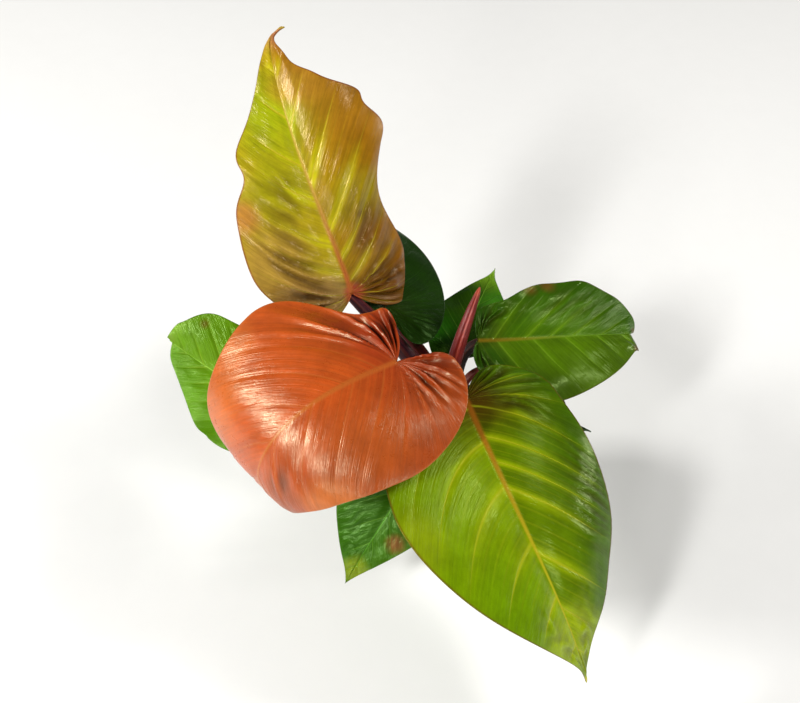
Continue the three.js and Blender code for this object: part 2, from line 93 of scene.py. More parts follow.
def srgb(red, green, blue):
    """A screen colour of 0 to 255 as linear light with an alpha."""
    shares = (c / 255 for c in (red, green, blue))
    return (*(c / 12.92 if c <= 0.04045 else ((c + 0.055) / 1.055) ** 2.4 for c in shares), 1.0)


def pigment(red, green, blue):
    """A screen colour as a surface needs it under the stage's lights: a little darker, and warmer."""
    return (*(c * k for c, k in zip(srgb(red, green, blue), (0.7, 0.7, 0.42))), 1.0)


def half(width, widest, sinus, shoulder, cup, wave, lobe_lift, *dents):
    """One half of a blade, its sizes as fractions of the blade's length.

    cup is its slope in degrees beside the midrib and at the margin, wave its ripple in mm with its phase,
    lobe_lift the rise of its basal lobe in mm, and each dent is a place along the margin and how far out
    the margin goes there, or in if below 0.
    """
    return {
        "width": width, "widest": widest, "sinus": sinus, "shoulder": shoulder, "cup": cup, "wave": wave,
        "lobe_lift": lobe_lift, "dents": dents,
    }


# Each leaf as in the CAD source. base is where blade and petiole meet. heading, pitch and roll run from base
# to tip, bend is how late the pitch turns, and hook how much more the last part turns in heading and pitch.
# tip is the outline's last handle, out and back from the tip, and notch how deep the tip is notched. waves
# is how many ripples the margin has, scallop how much they also widen the blade, and dent_spread the width
# of a dent.
# A petiole leaves the stem at a heading and height and ends under the base: leave and arrive are the angles
# there, and reach how far its curve's handles stand out.
LEAVES = {
    "orange": {
        "length": 198, "base": (-50.9, -46.5, 268), "heading": (210, 217), "pitch": (4, -190), "bend": 2.08,
        "roll": (1, 5), "tip": (0.058, 0.172), "waves": 2.94, "scallop": 0.038, "dent_spread": 0.075,
        "right": half(
            0.465, 0.348, (0.252, 0.271), (0.208, 0.332), (2, -8), (1.9, 0.17), 3.2, (0.1, 0.039),
            (0.25, -0.075)),
        "left": half(
            0.403, 0.217, (0.103, 0.415), (0.25, 0.389), (2, -44), (0.2, 0.33), 2.8, (0.1, -0.036),
            (0.25, 0.009), (0.6, -0.018)),
        "petiole": {"from": (232, 157), "leave": 70, "arrive": 50, "radius": (5.2, 3.6), "reach": (45, 30)},
    },
    "bronze": {
        "length": 216, "base": (-85.3, 41.7, 242.8), "heading": (138, 96), "pitch": (73, 17), "bend": 0.87,
        "roll": (1, 12), "tip": (0.028, 0.319), "waves": 4, "hook": (-81, -5), "scallop": 0.026,
        "dent_spread": 0.05,
        "right": half(
            0.253, 0.467, (0.279, 0.391), (0.392, 0.375), (30, -21), (3.1, 0.24), 0.2, (0.1, 0.029),
            (0.24, -0.014), (0.38, -0.027), (0.48, 0.049), (0.6, 0.059), (0.7, -0.007), (0.9, 0.012)),
        "left": half(
            0.293, 0.308, (0.17, 0.175), (0.26, 0.257), (6, -18), (5.1, -0.26), -1, (0.1, 0.052),
            (0.38, 0.009), (0.6, -0.048), (0.7, 0.008), (0.9, 0.008)),
        "petiole": {"from": (148, 153), "leave": 78, "arrive": -18, "radius": (5.2, 3.8), "reach": (60, 10)},
    },
    "lime": {
        "length": 242, "base": (-1.3, -43.8, 221.9), "heading": (-69, -42), "pitch": (-14, -73),
        "bend": 1.07, "roll": (-3, 1), "tip": (-0.002, 0.184), "waves": 2.4, "dent_spread": 0.06,
        "right": half(
            0.353, 0.252, (0.221, 0.154), (0.127, 0.254), (14, 5), (0.2, 0.17), -0.5, (0.25, 0.042)),
        "left": half(
            0.331, 0.341, (0.104, 0.207), (0.326, 0.417), (6, -27), (0.8, 0.25), -0.1, (0.25, 0.034)),
        "petiole": {"from": (287, 145), "leave": 60, "arrive": 50, "radius": (5.2, 3.8), "reach": (35, 25)},
    },
    "right": {
        "length": 147, "base": (11.4, 29.7, 201), "heading": (3, 26), "pitch": (-2, -30), "bend": 1.5,
        "roll": (-13, -22), "tip": (0.08, -0.034), "waves": 3, "notch": 0.1, "dent_spread": 0.06,
        "right": half(0.371, 0.274, (0.12, 0.11), (0.19, 0.243), (7, -10), (1.9, 0.07), 0.5, (0.94, 0.06)),
        "left": half(
            0.295, 0.441, (0.215, 0.081), (0.15, 0.408), (17, 2), (0.8, 0.58), -0.9, (0.1, 0.034),
            (0.25, -0.021), (0.4, 0.011), (0.55, 0.028), (0.94, -0.016)),
        "petiole": {"from": (67, 159), "leave": 63, "arrive": 29, "radius": (5, 4), "reach": (27, 9)},
    },
    "dark": {
        "length": 169, "base": (-60.5, 51.8, 216.9), "heading": (101, 105), "pitch": (3, -26), "bend": 1.21,
        "roll": (-17, -18), "tip": (0.035, 0.22), "waves": 3.3,
        "right": half(0.34, 0.2, (0.112, 0.43), (0.26, 0.29), (-1, -9), (1.4, 0.28), -2.4),
        "left": half(0.33, 0.34, (0.078, 0.17), (0.19, 0.31), (17, 5), (2.1, 0.23), 0.3),
        "petiole": {"from": (108, 143), "leave": 54, "arrive": 68, "radius": (4.8, 3.4), "reach": (48, 8)},
    },
    "back": {
        "length": 102, "base": (-4.2, 41.4, 172.4), "heading": (68, 70), "pitch": (4, -7), "bend": 1.23,
        "roll": (2, 1), "tip": (0.04, 0.28), "waves": 3.8,
        "right": half(0.34, 0.27, (0.06, 0.14), (0.12, 0.26), (11, 8), (1.2, 0.1), 0.4),
        "left": half(0.31, 0.29, (0.07, 0.34), (0.22, 0.29), (15, -16), (2.2, 0.29), -0.4),
        "petiole": {"from": (101, 117), "leave": 56, "arrive": 55, "radius": (4.6, 3.2), "reach": (26, 18)},
    },
    "left": {
        "length": 126, "base": (-130.2, -16.1, 158.1), "heading": (150, 142), "pitch": (9, 5), "bend": 1.29,
        "roll": (14, 33), "tip": (0.014, -0.089), "waves": 3.6, "notch": 0.042, "scallop": -0.042,
        "dent_spread": 0.05,
        "right": half(
            0.357, 0.512, (0.075, 0.37), (0.225, 0.513), (14, -20), (0.9, 0.39), -3.7, (0.42, -0.034),
            (0.6, 0.008), (0.72, -0.03), (0.84, -0.062), (0.93, -0.015)),
        "left": half(
            0.373, 0.38, (0.069, 0.347), (0.276, 0.1), (-1, 6), (3, 0.6), -0.3, (0.42, 0.014), (0.84, 0.006),
            (0.93, -0.029)),
        "petiole": {"from": (190, 129), "leave": 40, "arrive": 30, "radius": (4.8, 3.4), "reach": (40, 35)},
    },
    "front": {
        "length": 135, "base": (-20.4, -29.9, 153.4), "heading": (236, 221), "pitch": (-9, -53),
        "bend": 0.69, "roll": (6, 15), "tip": (0.03, 0.13), "waves": 3.5,
        "right": half(0.35, 0.34, (0.107, 0.31), (0.24, 0.35), (16, -10), (1.9, 0.13), -1.2),
        "left": half(0.31, 0.21, (0.103, 0.28), (0.21, 0.32), (6, -10), (2.7, 0.18), 0.3),
        "petiole": {"from": (255, 122), "leave": 50, "arrive": 50, "radius": (4.6, 3.2), "reach": (16, 12)},
    },
    "under": {
        "length": 87, "base": (30, 27, 168), "heading": (-48, -20), "pitch": (2, -21), "bend": 0.68,
        "roll": (1, 2), "tip": (0.019, 0.259), "waves": 2.9, "dent_spread": 0.05,
        "right": half(0.313, 0.282, (0.1, 0.31), (0.22, 0.302), (8, -10), (2, 0.2), 0),
        "left": half(
            0.293, 0.258, (0.098, 0.3), (0.22, 0.278), (6, -13), (2, 0.18), 0.2, (0.85, -0.035),
            (0.94, -0.037)),
        "petiole": {"from": (80, 132), "leave": 49, "arrive": 13, "radius": (4, 2.4), "reach": (30, 22)},
    },
}

# Where the main side veins leave the midrib, from base to tip, on the right half and on the left.
STARTS = ((0.07, 0.2, 0.35, 0.52, 0.7, 0.86), (0.05, 0.17, 0.33, 0.5, 0.67, 0.84))

# How those veins run on each half: how they lean at the base, how much more towards the tip, and how they
# bend.
SWEEPS = ((0.45, 1.2, 1.2), (0.5, 1.4, 1.2))


def lobe_puckers(right, left):
    """The fine puckers on both basal lobes, by their heights in mm."""
    return [(side, 0.25, 0.12, 0.6, 0.4, 2.6, 3, height) for side, height in ((1, right), (-1, left))]


# How each leaf looks. Colours are screen colours: middle is the blade beside the midrib, right and left its
# outer halves, base and tip its ends, vein the side veins, midrib the midrib at base and tip, margin the
# line round the edge, and under the lower face.
# shine is how much both faces mirror, how white their glints are, for all colours or for red, green and
# blue, and how much duller they are than usual. veins and rim are how strong the side veins and the margin
# line are, bands how far the outer colour reaches inward between the veins, fine the streaks along the
# veins, tip_from where the tip's colour starts, quilt the swelling between veins in mm, columns the rows of
# faces across the middle of a half, and starts and sweep take the place of STARTS and SWEEPS.
# patches are places with another colour: (side, along the margin, from midrib to margin, radius in mm,
# colour, strength). crumples are puckered places: (side, place and spread along the margin, place and spread
# from midrib to margin, folds to each main vein, bends outward, height in mm). side is 1 for the right half
# and -1 for the left.
LOOKS = {
    "orange": {
        "columns": 46, "shine": (0.68, (1, 0.92, 0.62), 0.08), "veins": 0.3, "rim": 0.25, "tip_from": 0.85,
        "quilt": 0.5, "fine": 0.3, "middle": (194, 80, 30), "right": (202, 86, 36), "left": (172, 70, 26),
        # The orange's tip colour is painted light: made paler so that its dimly lit, curled tip still looks
        # bright.
        "base": (166, 58, 24), "tip": (255, 200, 130), "vein": (200, 104, 50),
        "midrib": ((190, 92, 42), (202, 108, 48)), "margin": (220, 136, 76), "under": (176, 84, 52),
        "patches": [
            # These two darken the right basal lobe: partly its own deeper red and partly painted shade.
            (1, 0.25, 0.5, 34, (164, 48, 20), 0.85), (1, 0.14, 0.6, 20, (158, 46, 22), 0.7),
            (1, 0.66, 0.85, 34, (212, 106, 40), 0.7), (1, 0.5, 0.95, 22, (214, 116, 62), 0.5),
            # The first of these darkens the left basal lobe: partly its own deeper red and partly painted
            # shade.
            (-1, 0.12, 0.6, 22, (156, 48, 26), 0.7), (-1, 0.5, 0.6, 40, (178, 84, 34), 0.5),
            (-1, 0.85, 0.6, 26, (188, 90, 26), 0.7), (1, 0.9, 0.6, 20, (200, 102, 36), 0.6),
            # Painted highlight: a pale streak near the orange's tip.
            (-1, 0.64, 0.95, 24, (240, 136, 78), 0.5),
        ],
        "crumples": [
            (1, 0.27, 0.14, 0.55, 0.42, 1.5, 0.9, 6.4), (1, 0.12, 0.08, 0.6, 0.5, 1.5, 1.1, 7.0),
            (-1, 0.13, 0.08, 0.6, 0.45, 1.5, 0.8, 6.8), (-1, 0.26, 0.07, 0.35, 0.3, 1.8, 1.2, 5.0),
            (-1, 0.72, 0.05, 0.45, 0.2, 1.2, 1, 2.4),
        ],
    },
    "bronze": {
        "columns": 46, "shine": (0.4, 0.42, -0.02), "bands": 0.8, "veins": 0.8, "rim": 0.8, "tip_from": 0.86,
        "quilt": 0.8, "fine": 0.45, "sweep": ((0.7, 1.6, 0.6), (0.5, 0.8, 2.0)),
        "starts": ((0.04, 0.13, 0.24, 0.41, 0.6, 0.78), (0.08, 0.19, 0.35, 0.47, 0.64, 0.8)),
        "middle": (216, 206, 26), "right": (156, 104, 18), "left": (184, 158, 36), "base": (140, 98, 34),
        "tip": (238, 158, 148), "vein": (206, 186, 50), "midrib": ((196, 104, 58), (214, 184, 96)),
        "margin": (140, 74, 48), "under": (150, 130, 60),
        "patches": [
            (-1, 0.78, 0.5, 46, (160, 176, 20), 0.85), (-1, 0.62, 0.5, 34, (158, 168, 22), 0.5),
            (1, 0.62, 0.8, 40, (162, 112, 34), 0.8), (1, 0.8, 0.7, 26, (178, 122, 50), 0.7),
            (1, 0.24, 0.6, 36, (106, 54, 14), 0.85), (-1, 0.4, 0.75, 40, (180, 138, 84), 0.7),
            (-1, 0.52, 0.92, 14, (204, 118, 84), 0.6), (-1, 0.28, 0.6, 30, (186, 148, 116), 0.75),
            # The small dark spot at 0.43 on the right half is painted shade in a crease.
            (1, 0.45, 0.4, 30, (150, 138, 24), 0.6), (1, 0.43, 0.42, 4, (96, 56, 18), 0.6),
            (1, 0.38, 0.5, 22, (114, 62, 14), 0.75), (1, 0.2, 0.02, 10, (190, 76, 64), 0.9),
            (-1, 0.3, 0.75, 30, (170, 120, 84), 0.6),
        ],
        "crumples": [
            (-1, 0.43, 0.08, 0.5, 0.32, 1.6, 2.4, 5.6), (-1, 0.33, 0.07, 0.5, 0.38, 1.6, 2, 6.2),
            (1, 0.26, 0.1, 0.5, 0.42, 1.4, 1.2, 6.0), (-1, 0.56, 0.07, 0.4, 0.3, 1.6, 3, 2.0),
            (1, 0.42, 0.05, 0.45, 0.25, 1.4, 1, 3.6),
        ],
    },
    "lime": {
        "columns": 40, "shine": (0.3, 0.24, 0), "bands": 0.75, "veins": 0.8, "rim": 0.7, "tip_from": 0.93,
        "quilt": 0.7, "fine": 0.3, "sweep": ((0.04, 0.6, 2.2), (0.4, 1.8, 1.5)),
        "starts": ((0.03, 0.14, 0.28, 0.46, 0.64, 0.82), (0.02, 0.12, 0.2, 0.28, 0.49, 0.68, 0.84)),
        # The lime's dark brown base is partly its own red-brown and partly painted shade from the orange
        # leaf above it.
        "middle": (158, 180, 8), "right": (118, 152, 3), "left": (70, 108, 3), "base": (84, 52, 16),
        "tip": (196, 214, 26), "vein": (186, 192, 40), "midrib": ((176, 104, 34), (196, 188, 44)),
        "margin": (110, 70, 24), "under": (120, 150, 60),
        "patches": [
            # The first patch here and the last on the next line are brown near the base: partly its own
            # colour and partly painted shade under the orange leaf.
            (-1, 0.05, 0.5, 20, (86, 60, 16), 0.8), (-1, 0.2, 0.5, 26, (96, 130, 18), 0.5),
            (1, 0.2, 0.5, 34, (74, 104, 10), 0.6), (-1, 0.3, 0.1, 22, (104, 70, 22), 0.7),
            (1, 0.7, 0.6, 40, (108, 158, 8), 0.4), (-1, 0.86, 0.5, 34, (160, 180, 14), 0.6),
            (1, 0.86, 0.5, 34, (164, 186, 12), 0.6), (1, 0.5, 0.95, 30, (150, 160, 20), 0.5),
        ],
        "crumples": [
            (-1, 0.2, 0.11, 0.6, 0.42, 1.7, 1.6, 4.6), (-1, 0.33, 0.06, 0.4, 0.3, 1.8, 2.4, 2.6),
            (1, 0.2, 0.1, 0.6, 0.4, 1.5, 2, 3.0), (-1, 0.52, 0.12, 0.8, 0.25, 2.4, 2, 1.8),
            (1, 0.85, 0.1, 0.6, 0.3, 1.6, 2, 1.4), (-1, 0.85, 0.1, 0.6, 0.3, 1.6, 2, 1.4),
        ],
    },
    "right": {
        "shine": (0.5, 0.3, 0), "bands": 0.65, "veins": 0.55, "rim": 0.6, "tip_from": 0.93, "quilt": 0.7,
        "fine": 0.3, "sweep": ((0.4, 0.6, 0.4), (0.5, 2.2, 0.8)),
        "starts": ((0.1, 0.29, 0.47, 0.66, 0.83), (0.08, 0.25, 0.38, 0.51, 0.69, 0.85)),
        "middle": (88, 128, 10), "right": (74, 106, 5), "left": (54, 96, 9), "base": (84, 84, 20),
        "tip": (80, 112, 14), "vein": (118, 156, 40), "midrib": ((134, 110, 28), (104, 146, 40)),
        "margin": (84, 84, 22), "under": (90, 130, 60),
        "patches": [
            (-1, 0.36, 0.95, 9, (112, 70, 34), 0.85), (-1, 0.43, 0.99, 9, (118, 78, 40), 0.8),
            (-1, 0.1, 0.6, 20, (36, 84, 24), 0.8), (1, 0.93, 0.9, 5, (96, 60, 24), 0.9),
            (-1, 0.93, 0.9, 4, (96, 60, 24), 0.8), (1, 0.2, 0.6, 24, (30, 92, 18), 0.7),
        ],
        "crumples": [
            (-1, 0.24, 0.11, 0.5, 0.42, 1.9, 2, 5.0), (1, 0.26, 0.1, 0.5, 0.42, 1.6, 1.6, 3.8),
            (-1, 0.55, 0.2, 0.6, 0.3, 1.4, 2, 1.2),
        ],
    },
    "dark": {
        "veins": 0.35, "rim": 0.4, "tip_from": 0.9, "quilt": 0.6, "fine": 0.18, "middle": (26, 58, 6),
        "right": (30, 62, 8), "left": (22, 50, 5), "base": (34, 50, 10), "tip": (30, 70, 12),
        "vein": (48, 92, 24), "midrib": ((110, 60, 40), (60, 120, 40)), "margin": (24, 60, 14),
        "under": (70, 106, 54),
        "patches": [(-1, 0.3, 0.7, 26, (10, 54, 8), 0.6)],
        "crumples": lobe_puckers(1.3, 1.3),
    },
    "back": {
        "veins": 0.45, "rim": 0.4, "tip_from": 0.62, "quilt": 0.6, "fine": 0.18, "middle": (46, 78, 6),
        "right": (54, 100, 12), "left": (36, 70, 5), "base": (40, 56, 8), "tip": (150, 200, 60),
        "vein": (86, 130, 40), "midrib": ((110, 110, 40), (124, 176, 70)), "margin": (40, 90, 20),
        "under": (80, 120, 60),
        "patches": [(1, 0.7, 0.5, 18, (70, 140, 40), 0.5), (-1, 0.4, 0.6, 24, (16, 84, 10), 0.6)],
        "crumples": lobe_puckers(1.2, 1.0),
    },
    "left": {
        "bands": 0.6, "veins": 0.6, "rim": 0.5, "tip_from": 0.9, "quilt": 0.6, "fine": 0.18,
        "middle": (112, 160, 26), "right": (104, 154, 24), "left": (94, 148, 22), "base": (90, 126, 24),
        "tip": (120, 164, 44), "vein": (158, 196, 72), "midrib": ((150, 150, 60), (160, 210, 90)),
        "margin": (90, 130, 40), "under": (110, 150, 80),
        "patches": [(1, 0.66, 0.86, 7, (116, 100, 36), 0.85), (1, 0.88, 0.9, 7, (100, 124, 40), 0.6)],
        "crumples": lobe_puckers(1.0, 1.0),
    },
    "front": {
        "shine": (0.4, 0.24, 0), "veins": 0.45, "rim": 0.6, "tip_from": 0.86, "quilt": 0.7, "fine": 0.2,
        "middle": (56, 104, 12), "right": (52, 100, 14), "left": (66, 112, 16), "base": (44, 84, 12),
        "tip": (104, 134, 34), "vein": (96, 146, 40), "midrib": ((110, 110, 40), (90, 156, 50)),
        "margin": (92, 124, 34), "under": (80, 120, 60),
        "patches": [
            (-1, 0.71, 0.68, 10, (150, 84, 66), 0.9), (1, 0.93, 0.5, 12, (130, 150, 36), 0.7),
            (-1, 0.9, 0.5, 12, (140, 156, 40), 0.7), (1, 0.5, 0.4, 26, (26, 84, 8), 0.7),
        ],
        "crumples": [
            (1, 0.7, 0.18, 0.6, 0.4, 2.4, 3, 1.0), (-1, 0.62, 0.15, 0.6, 0.4, 2.4, 3, 1.2),
            (1, 0.25, 0.12, 0.6, 0.4, 2.6, 3, 1.2),
        ],
    },
    "under": {
        "veins": 0.4, "rim": 0.4, "tip_from": 0.8, "quilt": 0.4, "fine": 0.15, "middle": (30, 66, 8),
        "right": (28, 62, 8), "left": (26, 58, 8), "base": (40, 60, 16), "tip": (20, 26, 18),
        "vein": (60, 120, 40), "midrib": ((130, 50, 36), (50, 80, 34)), "margin": (24, 50, 16),
        "under": (70, 104, 54),
        "patches": [],
        "crumples": [(1, 0.25, 0.12, 0.6, 0.4, 2.6, 3, 0.8)],
    },
}

# The dark and the light colour of each petiole's streaks.
STALKS = {
    "orange": ((118, 40, 24), (156, 84, 44)), "bronze": ((16, 6, 30), (88, 16, 40)),
    "lime": ((84, 34, 20), (120, 66, 34)), "right": ((34, 16, 26), (60, 34, 34)),
    "dark": ((72, 6, 20), (104, 16, 24)), "back": ((52, 66, 24), (84, 96, 40)),
    "left": ((98, 80, 32), (130, 116, 52)), "front": ((84, 48, 32), (110, 76, 44)),
    "under": ((130, 26, 30), (160, 56, 48)),
}

# How much fatter a petiole is halfway than a straight taper, where it isn't 0.08.
BELLIES = {"bronze": 0.42, "dark": 0.4}


def color_setting(name, description, color):
    return FloatVectorProperty(
        name=name, description=description, default=color[:3], size=3, subtype="COLOR", min=0, max=1)


def share_setting(name, description, default, most=1.0):
    return FloatProperty(
        name=name, description=description, default=default, subtype="FACTOR", min=0, max=most)


def length_setting(name, description, default, least, most=1.0):
    return FloatProperty(
        name=name, description=description, default=default, unit="LENGTH", min=least, max=most)


def count_setting(name, description, default, least, most):
    return IntProperty(name=name, description=description, default=default, min=least, max=most)


class PotSettings(bpy.types.PropertyGroup):
    """Sizes and finish of the pot."""

    height: length_setting("Height", "From the table to the top of the rim", POT["height"] * MM, 0.02)
    rim_radius: length_setting("Rim radius", "Outer radius of the rim", POT["rim"] * MM, 0.02)
    color: color_setting("Colour", "Colour of the plastic", srgb(44, 43, 42))
    roughness: share_setting("Roughness", "How dull the plastic is", 0.42)


class SoilSettings(bpy.types.PropertyGroup):
    """Colour of the potting soil and how much lies on it."""

    color: color_setting("Colour", "Colour of the damp soil", srgb(52, 38, 28))
    crumbs: count_setting("Crumbs", "How many crumbs lie on the soil", 1500, 0, 4000)
    bark: count_setting("Bark", "How many chips of bark lie on the soil", 90, 0, 400)
    perlite: count_setting("Perlite", "How many white grains lie on the soil", 110, 0, 600)


class StalkSettings(bpy.types.PropertyGroup):
    """Sizes and finish of the stem, the petioles and the sheath."""

    ridge: share_setting("Ridge", "Height of a petiole's two ridges, as a share of its radius", 0.1, 0.4)
    roughness: share_setting("Roughness", "How dull the stalks are", 0.32)
    sheath_color: color_setting("Sheath colour", "Colour of the red sheath", srgb(120, 26, 22))


class LeafSettings(bpy.types.PropertyGroup):
    """Sizes and finish that all the leaves share."""

    edge: length_setting("Edge thickness", "Thickness of a blade at its margin", 0.55 * MM, 0.0001, 0.002)
    relief: FloatProperty(
        name="Relief", description="How strongly the blades are puckered", default=1.0, min=0, max=3)
    roughness: share_setting("Roughness", "How dull the waxy upper face is", 0.22)
    rows: count_setting("Rows", "Rows of points from the sinus to the tip", 170, 20, 400)


class StageSettings(bpy.types.PropertyGroup):
    """The floor, the lights and the camera."""

    floor_color: color_setting("Floor", "Colour of the floor", (0.86, 0.86, 0.85))
    elevation: FloatProperty(
        name="Elevation", description="How steeply the camera looks down", default=math.radians(50),
        subtype="ANGLE")
    lens: FloatProperty(
        name="Lens", description="Focal length of the camera in millimetres", default=51.93, min=10, max=300)


def ease(value, low, high):
    """0 below low, 1 above high, and linear between them."""
    return np.clip((value - low) / (high - low), 0, 1)


def bezier(points, t):
    """The point at t from 0 to 1 on a cubic curve."""
    p = np.array(points, float)
    t = np.asarray(t, float)[..., None]
    return (1 - t) ** 3 * p[0] + 3 * (1 - t) ** 2 * t * p[1] + 3 * (1 - t) * t * t * p[2] + t**3 * p[3]


def bezier_slope(points, t):
    """The unit direction at t on a cubic curve."""
    p = np.array(points, float)
    t = np.asarray(t, float)[..., None]
    slope = (1 - t) ** 2 * (p[1] - p[0]) + 2 * (1 - t) * t * (p[2] - p[1]) + t * t * (p[3] - p[2])
    return slope / np.linalg.norm(slope, axis=-1, keepdims=True)


def margin(leaf, flank, a):
    """The outline of a half blade, across and along, from the sinus at 0 to the tip at 1."""
    width, widest = flank["width"], flank["widest"]
    (sinus_out, sinus_back), (lower, upper) = flank["sinus"], flank["shoulder"]
    tip_out, tip_back = leaf["tip"]
    turn = BLADE["widest_at"]
    lobe = [(0, 0), (sinus_out, -sinus_back), (width, widest - lower), (width, widest)]
    tail = [(width, widest), (width, widest + upper), (tip_out, 1 - tip_back), (0, 1 - leaf.get("notch", 0))]
    by_lobe, by_tail = bezier(lobe, ease(a, 0, turn)), bezier(tail, ease(a, turn, 1))
    outline = np.where((a < turn)[..., None], by_lobe, by_tail)
    ripple = np.sin(2 * np.pi * (leaf["waves"] * a + flank["wave"][1])) * np.sin(np.pi * a)
    across = outline[..., 0] * (1 + leaf.get("scallop", 0) * ripple)
    clear_of_ends = ease(a, 0, 0.06) * ease(1 - a, 0, 0.05)
    for place, depth in flank["dents"]:
        across = across + depth * clear_of_ends * np.exp(-(((a - place) / leaf["dent_spread"]) ** 2))
    return across, outline[..., 1]


def vein_start(leaf, a):
    """Where on the midrib the vein to margin place a starts."""
    return (1 - leaf.get("notch", 0)) * ease(a, BLADE["fan_end"], 1) ** 1.1


def midrib_axes(leaf, s):
    """Forward, rightward and upward directions along the midrib."""
    s = np.asarray(s, float)
    hook = ease(s, BLADE["hook_start"], 1) ** 1.5
    hook_turn, hook_pitch = leaf.get("hook", (0, 0))

    def between(pair, share):
        return pair[0] + (pair[1] - pair[0]) * share

    heading = np.radians(between(leaf["heading"], s) + hook_turn * hook)
    pitch = np.radians(between(leaf["pitch"], s ** leaf["bend"]) + hook_pitch * hook)
    roll = np.radians(between(leaf["roll"], s))[..., None]
    forward = np.stack(
        [np.cos(pitch) * np.cos(heading), np.cos(pitch) * np.sin(heading), np.sin(pitch)], axis=-1)
    level = np.stack([np.sin(heading), -np.cos(heading), 0 * heading], axis=-1)
    right = level * np.cos(roll) + np.cross(level, forward) * np.sin(roll)
    return forward, right, np.cross(right, forward)


def midrib_stations(leaf):
    """Places in mm and directions at even steps along the midrib."""
    steps = BLADE["steps"]
    forward, right, up = midrib_axes(leaf, np.arange(steps + 1) / steps)
    middles = midrib_axes(leaf, (np.arange(steps) + 0.5) / steps)[0] * leaf["length"] / steps
    base = np.array(leaf["base"], float)
    return np.vstack([base, base + np.cumsum(middles, axis=0)]), forward, right, up


def station_at(stations, s):
    """The place and directions at s from 0 to 1 along the midrib."""
    at = np.clip(s, 0, 1) * BLADE["steps"]
    i = np.minimum(np.floor(at).astype(int), BLADE["steps"] - 1)
    share = (at - i)[..., None]
    return [column[i] * (1 - share) + column[i + 1] * share for column in stations]


def blade_surface(leaf, stations, a, r, side):
    """Points of a half blade's middle surface in mm, their normals, and where they lie across and along."""
    flank = leaf["right"] if side > 0 else leaf["left"]
    across, ahead = margin(leaf, flank, a)
    start = vein_start(leaf, a)
    lift = BLADE["vein_lift"] * np.abs(across)
    x = 2 * (1 - r) * r * (0.5 * across + 0.35 * lift) + r * r * across
    y = (1 - r) ** 2 * start + 2 * (1 - r) * r * (start + 0.5 * (ahead - start) - lift) + r * r * ahead

    length = leaf["length"]
    place, forward, right, up = station_at(stations, y)
    place = place + forward * (length * (np.minimum(y, 0) + np.maximum(y - 1, 0)))[..., None]
    inner, outer = np.radians(flank["cup"])
    curl = (outer - inner) / (flank["width"] * length)
    slope = inner + curl * x * length
    out = (np.sin(slope) - np.sin(inner)) / curl
    rise = (np.cos(inner) - np.cos(slope)) / curl
    height, phase = flank["wave"]
    wave = height * np.abs(x / flank["width"]) ** 1.5 * np.sin(2 * np.pi * (leaf["waves"] * a + phase))
    lobe = flank["lobe_lift"] * np.clip(-y / (0.4 * flank["sinus"][1]), 0, 1.5) ** 2
    normal = -side * np.sin(slope)[..., None] * right + np.cos(slope)[..., None] * up
    place = place + right * (side * out)[..., None] + up * rise[..., None]
    place = place + normal * (wave + lobe)[..., None]
    return place, normal / np.linalg.norm(normal, axis=-1, keepdims=True), x, y


def ripples(seed, u, v):
    """Smooth waves of about one a unit, from -1 to 1, the same for the same seed."""
    draw = np.random.default_rng(seed)
    total = 0
    for _ in range(7):
        turn, pace, phase = draw.uniform(-1.1, 1.1), draw.uniform(0.6, 1.5), draw.uniform(0, 2 * np.pi)
        total = total + np.sin(2 * np.pi * pace * (u * np.cos(turn) + v * np.sin(turn)) + phase)
    return total / 4


def vein_count(look, x, y, side):
    """Counts up by one from each main side vein to the next; x and y are fractions of the blade's length.

    The veins leave the midrib at an angle, the later ones more steeply, and bend towards the tip. Behind the
    first one they fan out from the base.
    """
    which = 0 if side > 0 else 1
    lean, gain, bend = look.get("sweep", SWEEPS)[which]
    starts = look.get("starts", STARTS)[which]
    past_tip, fan_pace = 1.1, 2.6
    start = (y - lean * x - bend * x * x) / (1 + gain * x)
    pace = starts[1] - starts[0]
    end = len(starts) + (past_tip - starts[-1]) / (starts[-1] - starts[-2])
    counts = [1 - starts[0] / pace, *range(1, len(starts) + 1), end]
    first = np.linspace(0, 0.8, 60)
    ahead = lean * first + bend * first**2
    angle = np.mod(np.arctan2(x, y), 2 * np.pi)
    angles = np.arctan2(first + 1e-9, ahead + lean * 1e-9)
    first_angle = np.interp(np.hypot(x, y), np.hypot(first, ahead), angles)
    fan = fan_pace * np.maximum(angle - first_angle, 0)
    return np.where(start > 0, np.interp(start, [0, *starts, past_tip], counts), counts[0] - fan)


def folds(seed, veins, r, number, steps):
    """Ridges from 0 to 1 that follow the veins, wander a little and fade in and out."""
    wander = 0.4 * ripples(seed, veins * 0.6, r * steps)
    ridge = 1 - np.abs(np.sin(np.pi * (veins * number + wander)))
    return ridge**1.2 * np.clip(0.9 + 0.3 * ripples(seed + 1, veins * 1.3, r * steps * 0.6), 0.35, 1.3)


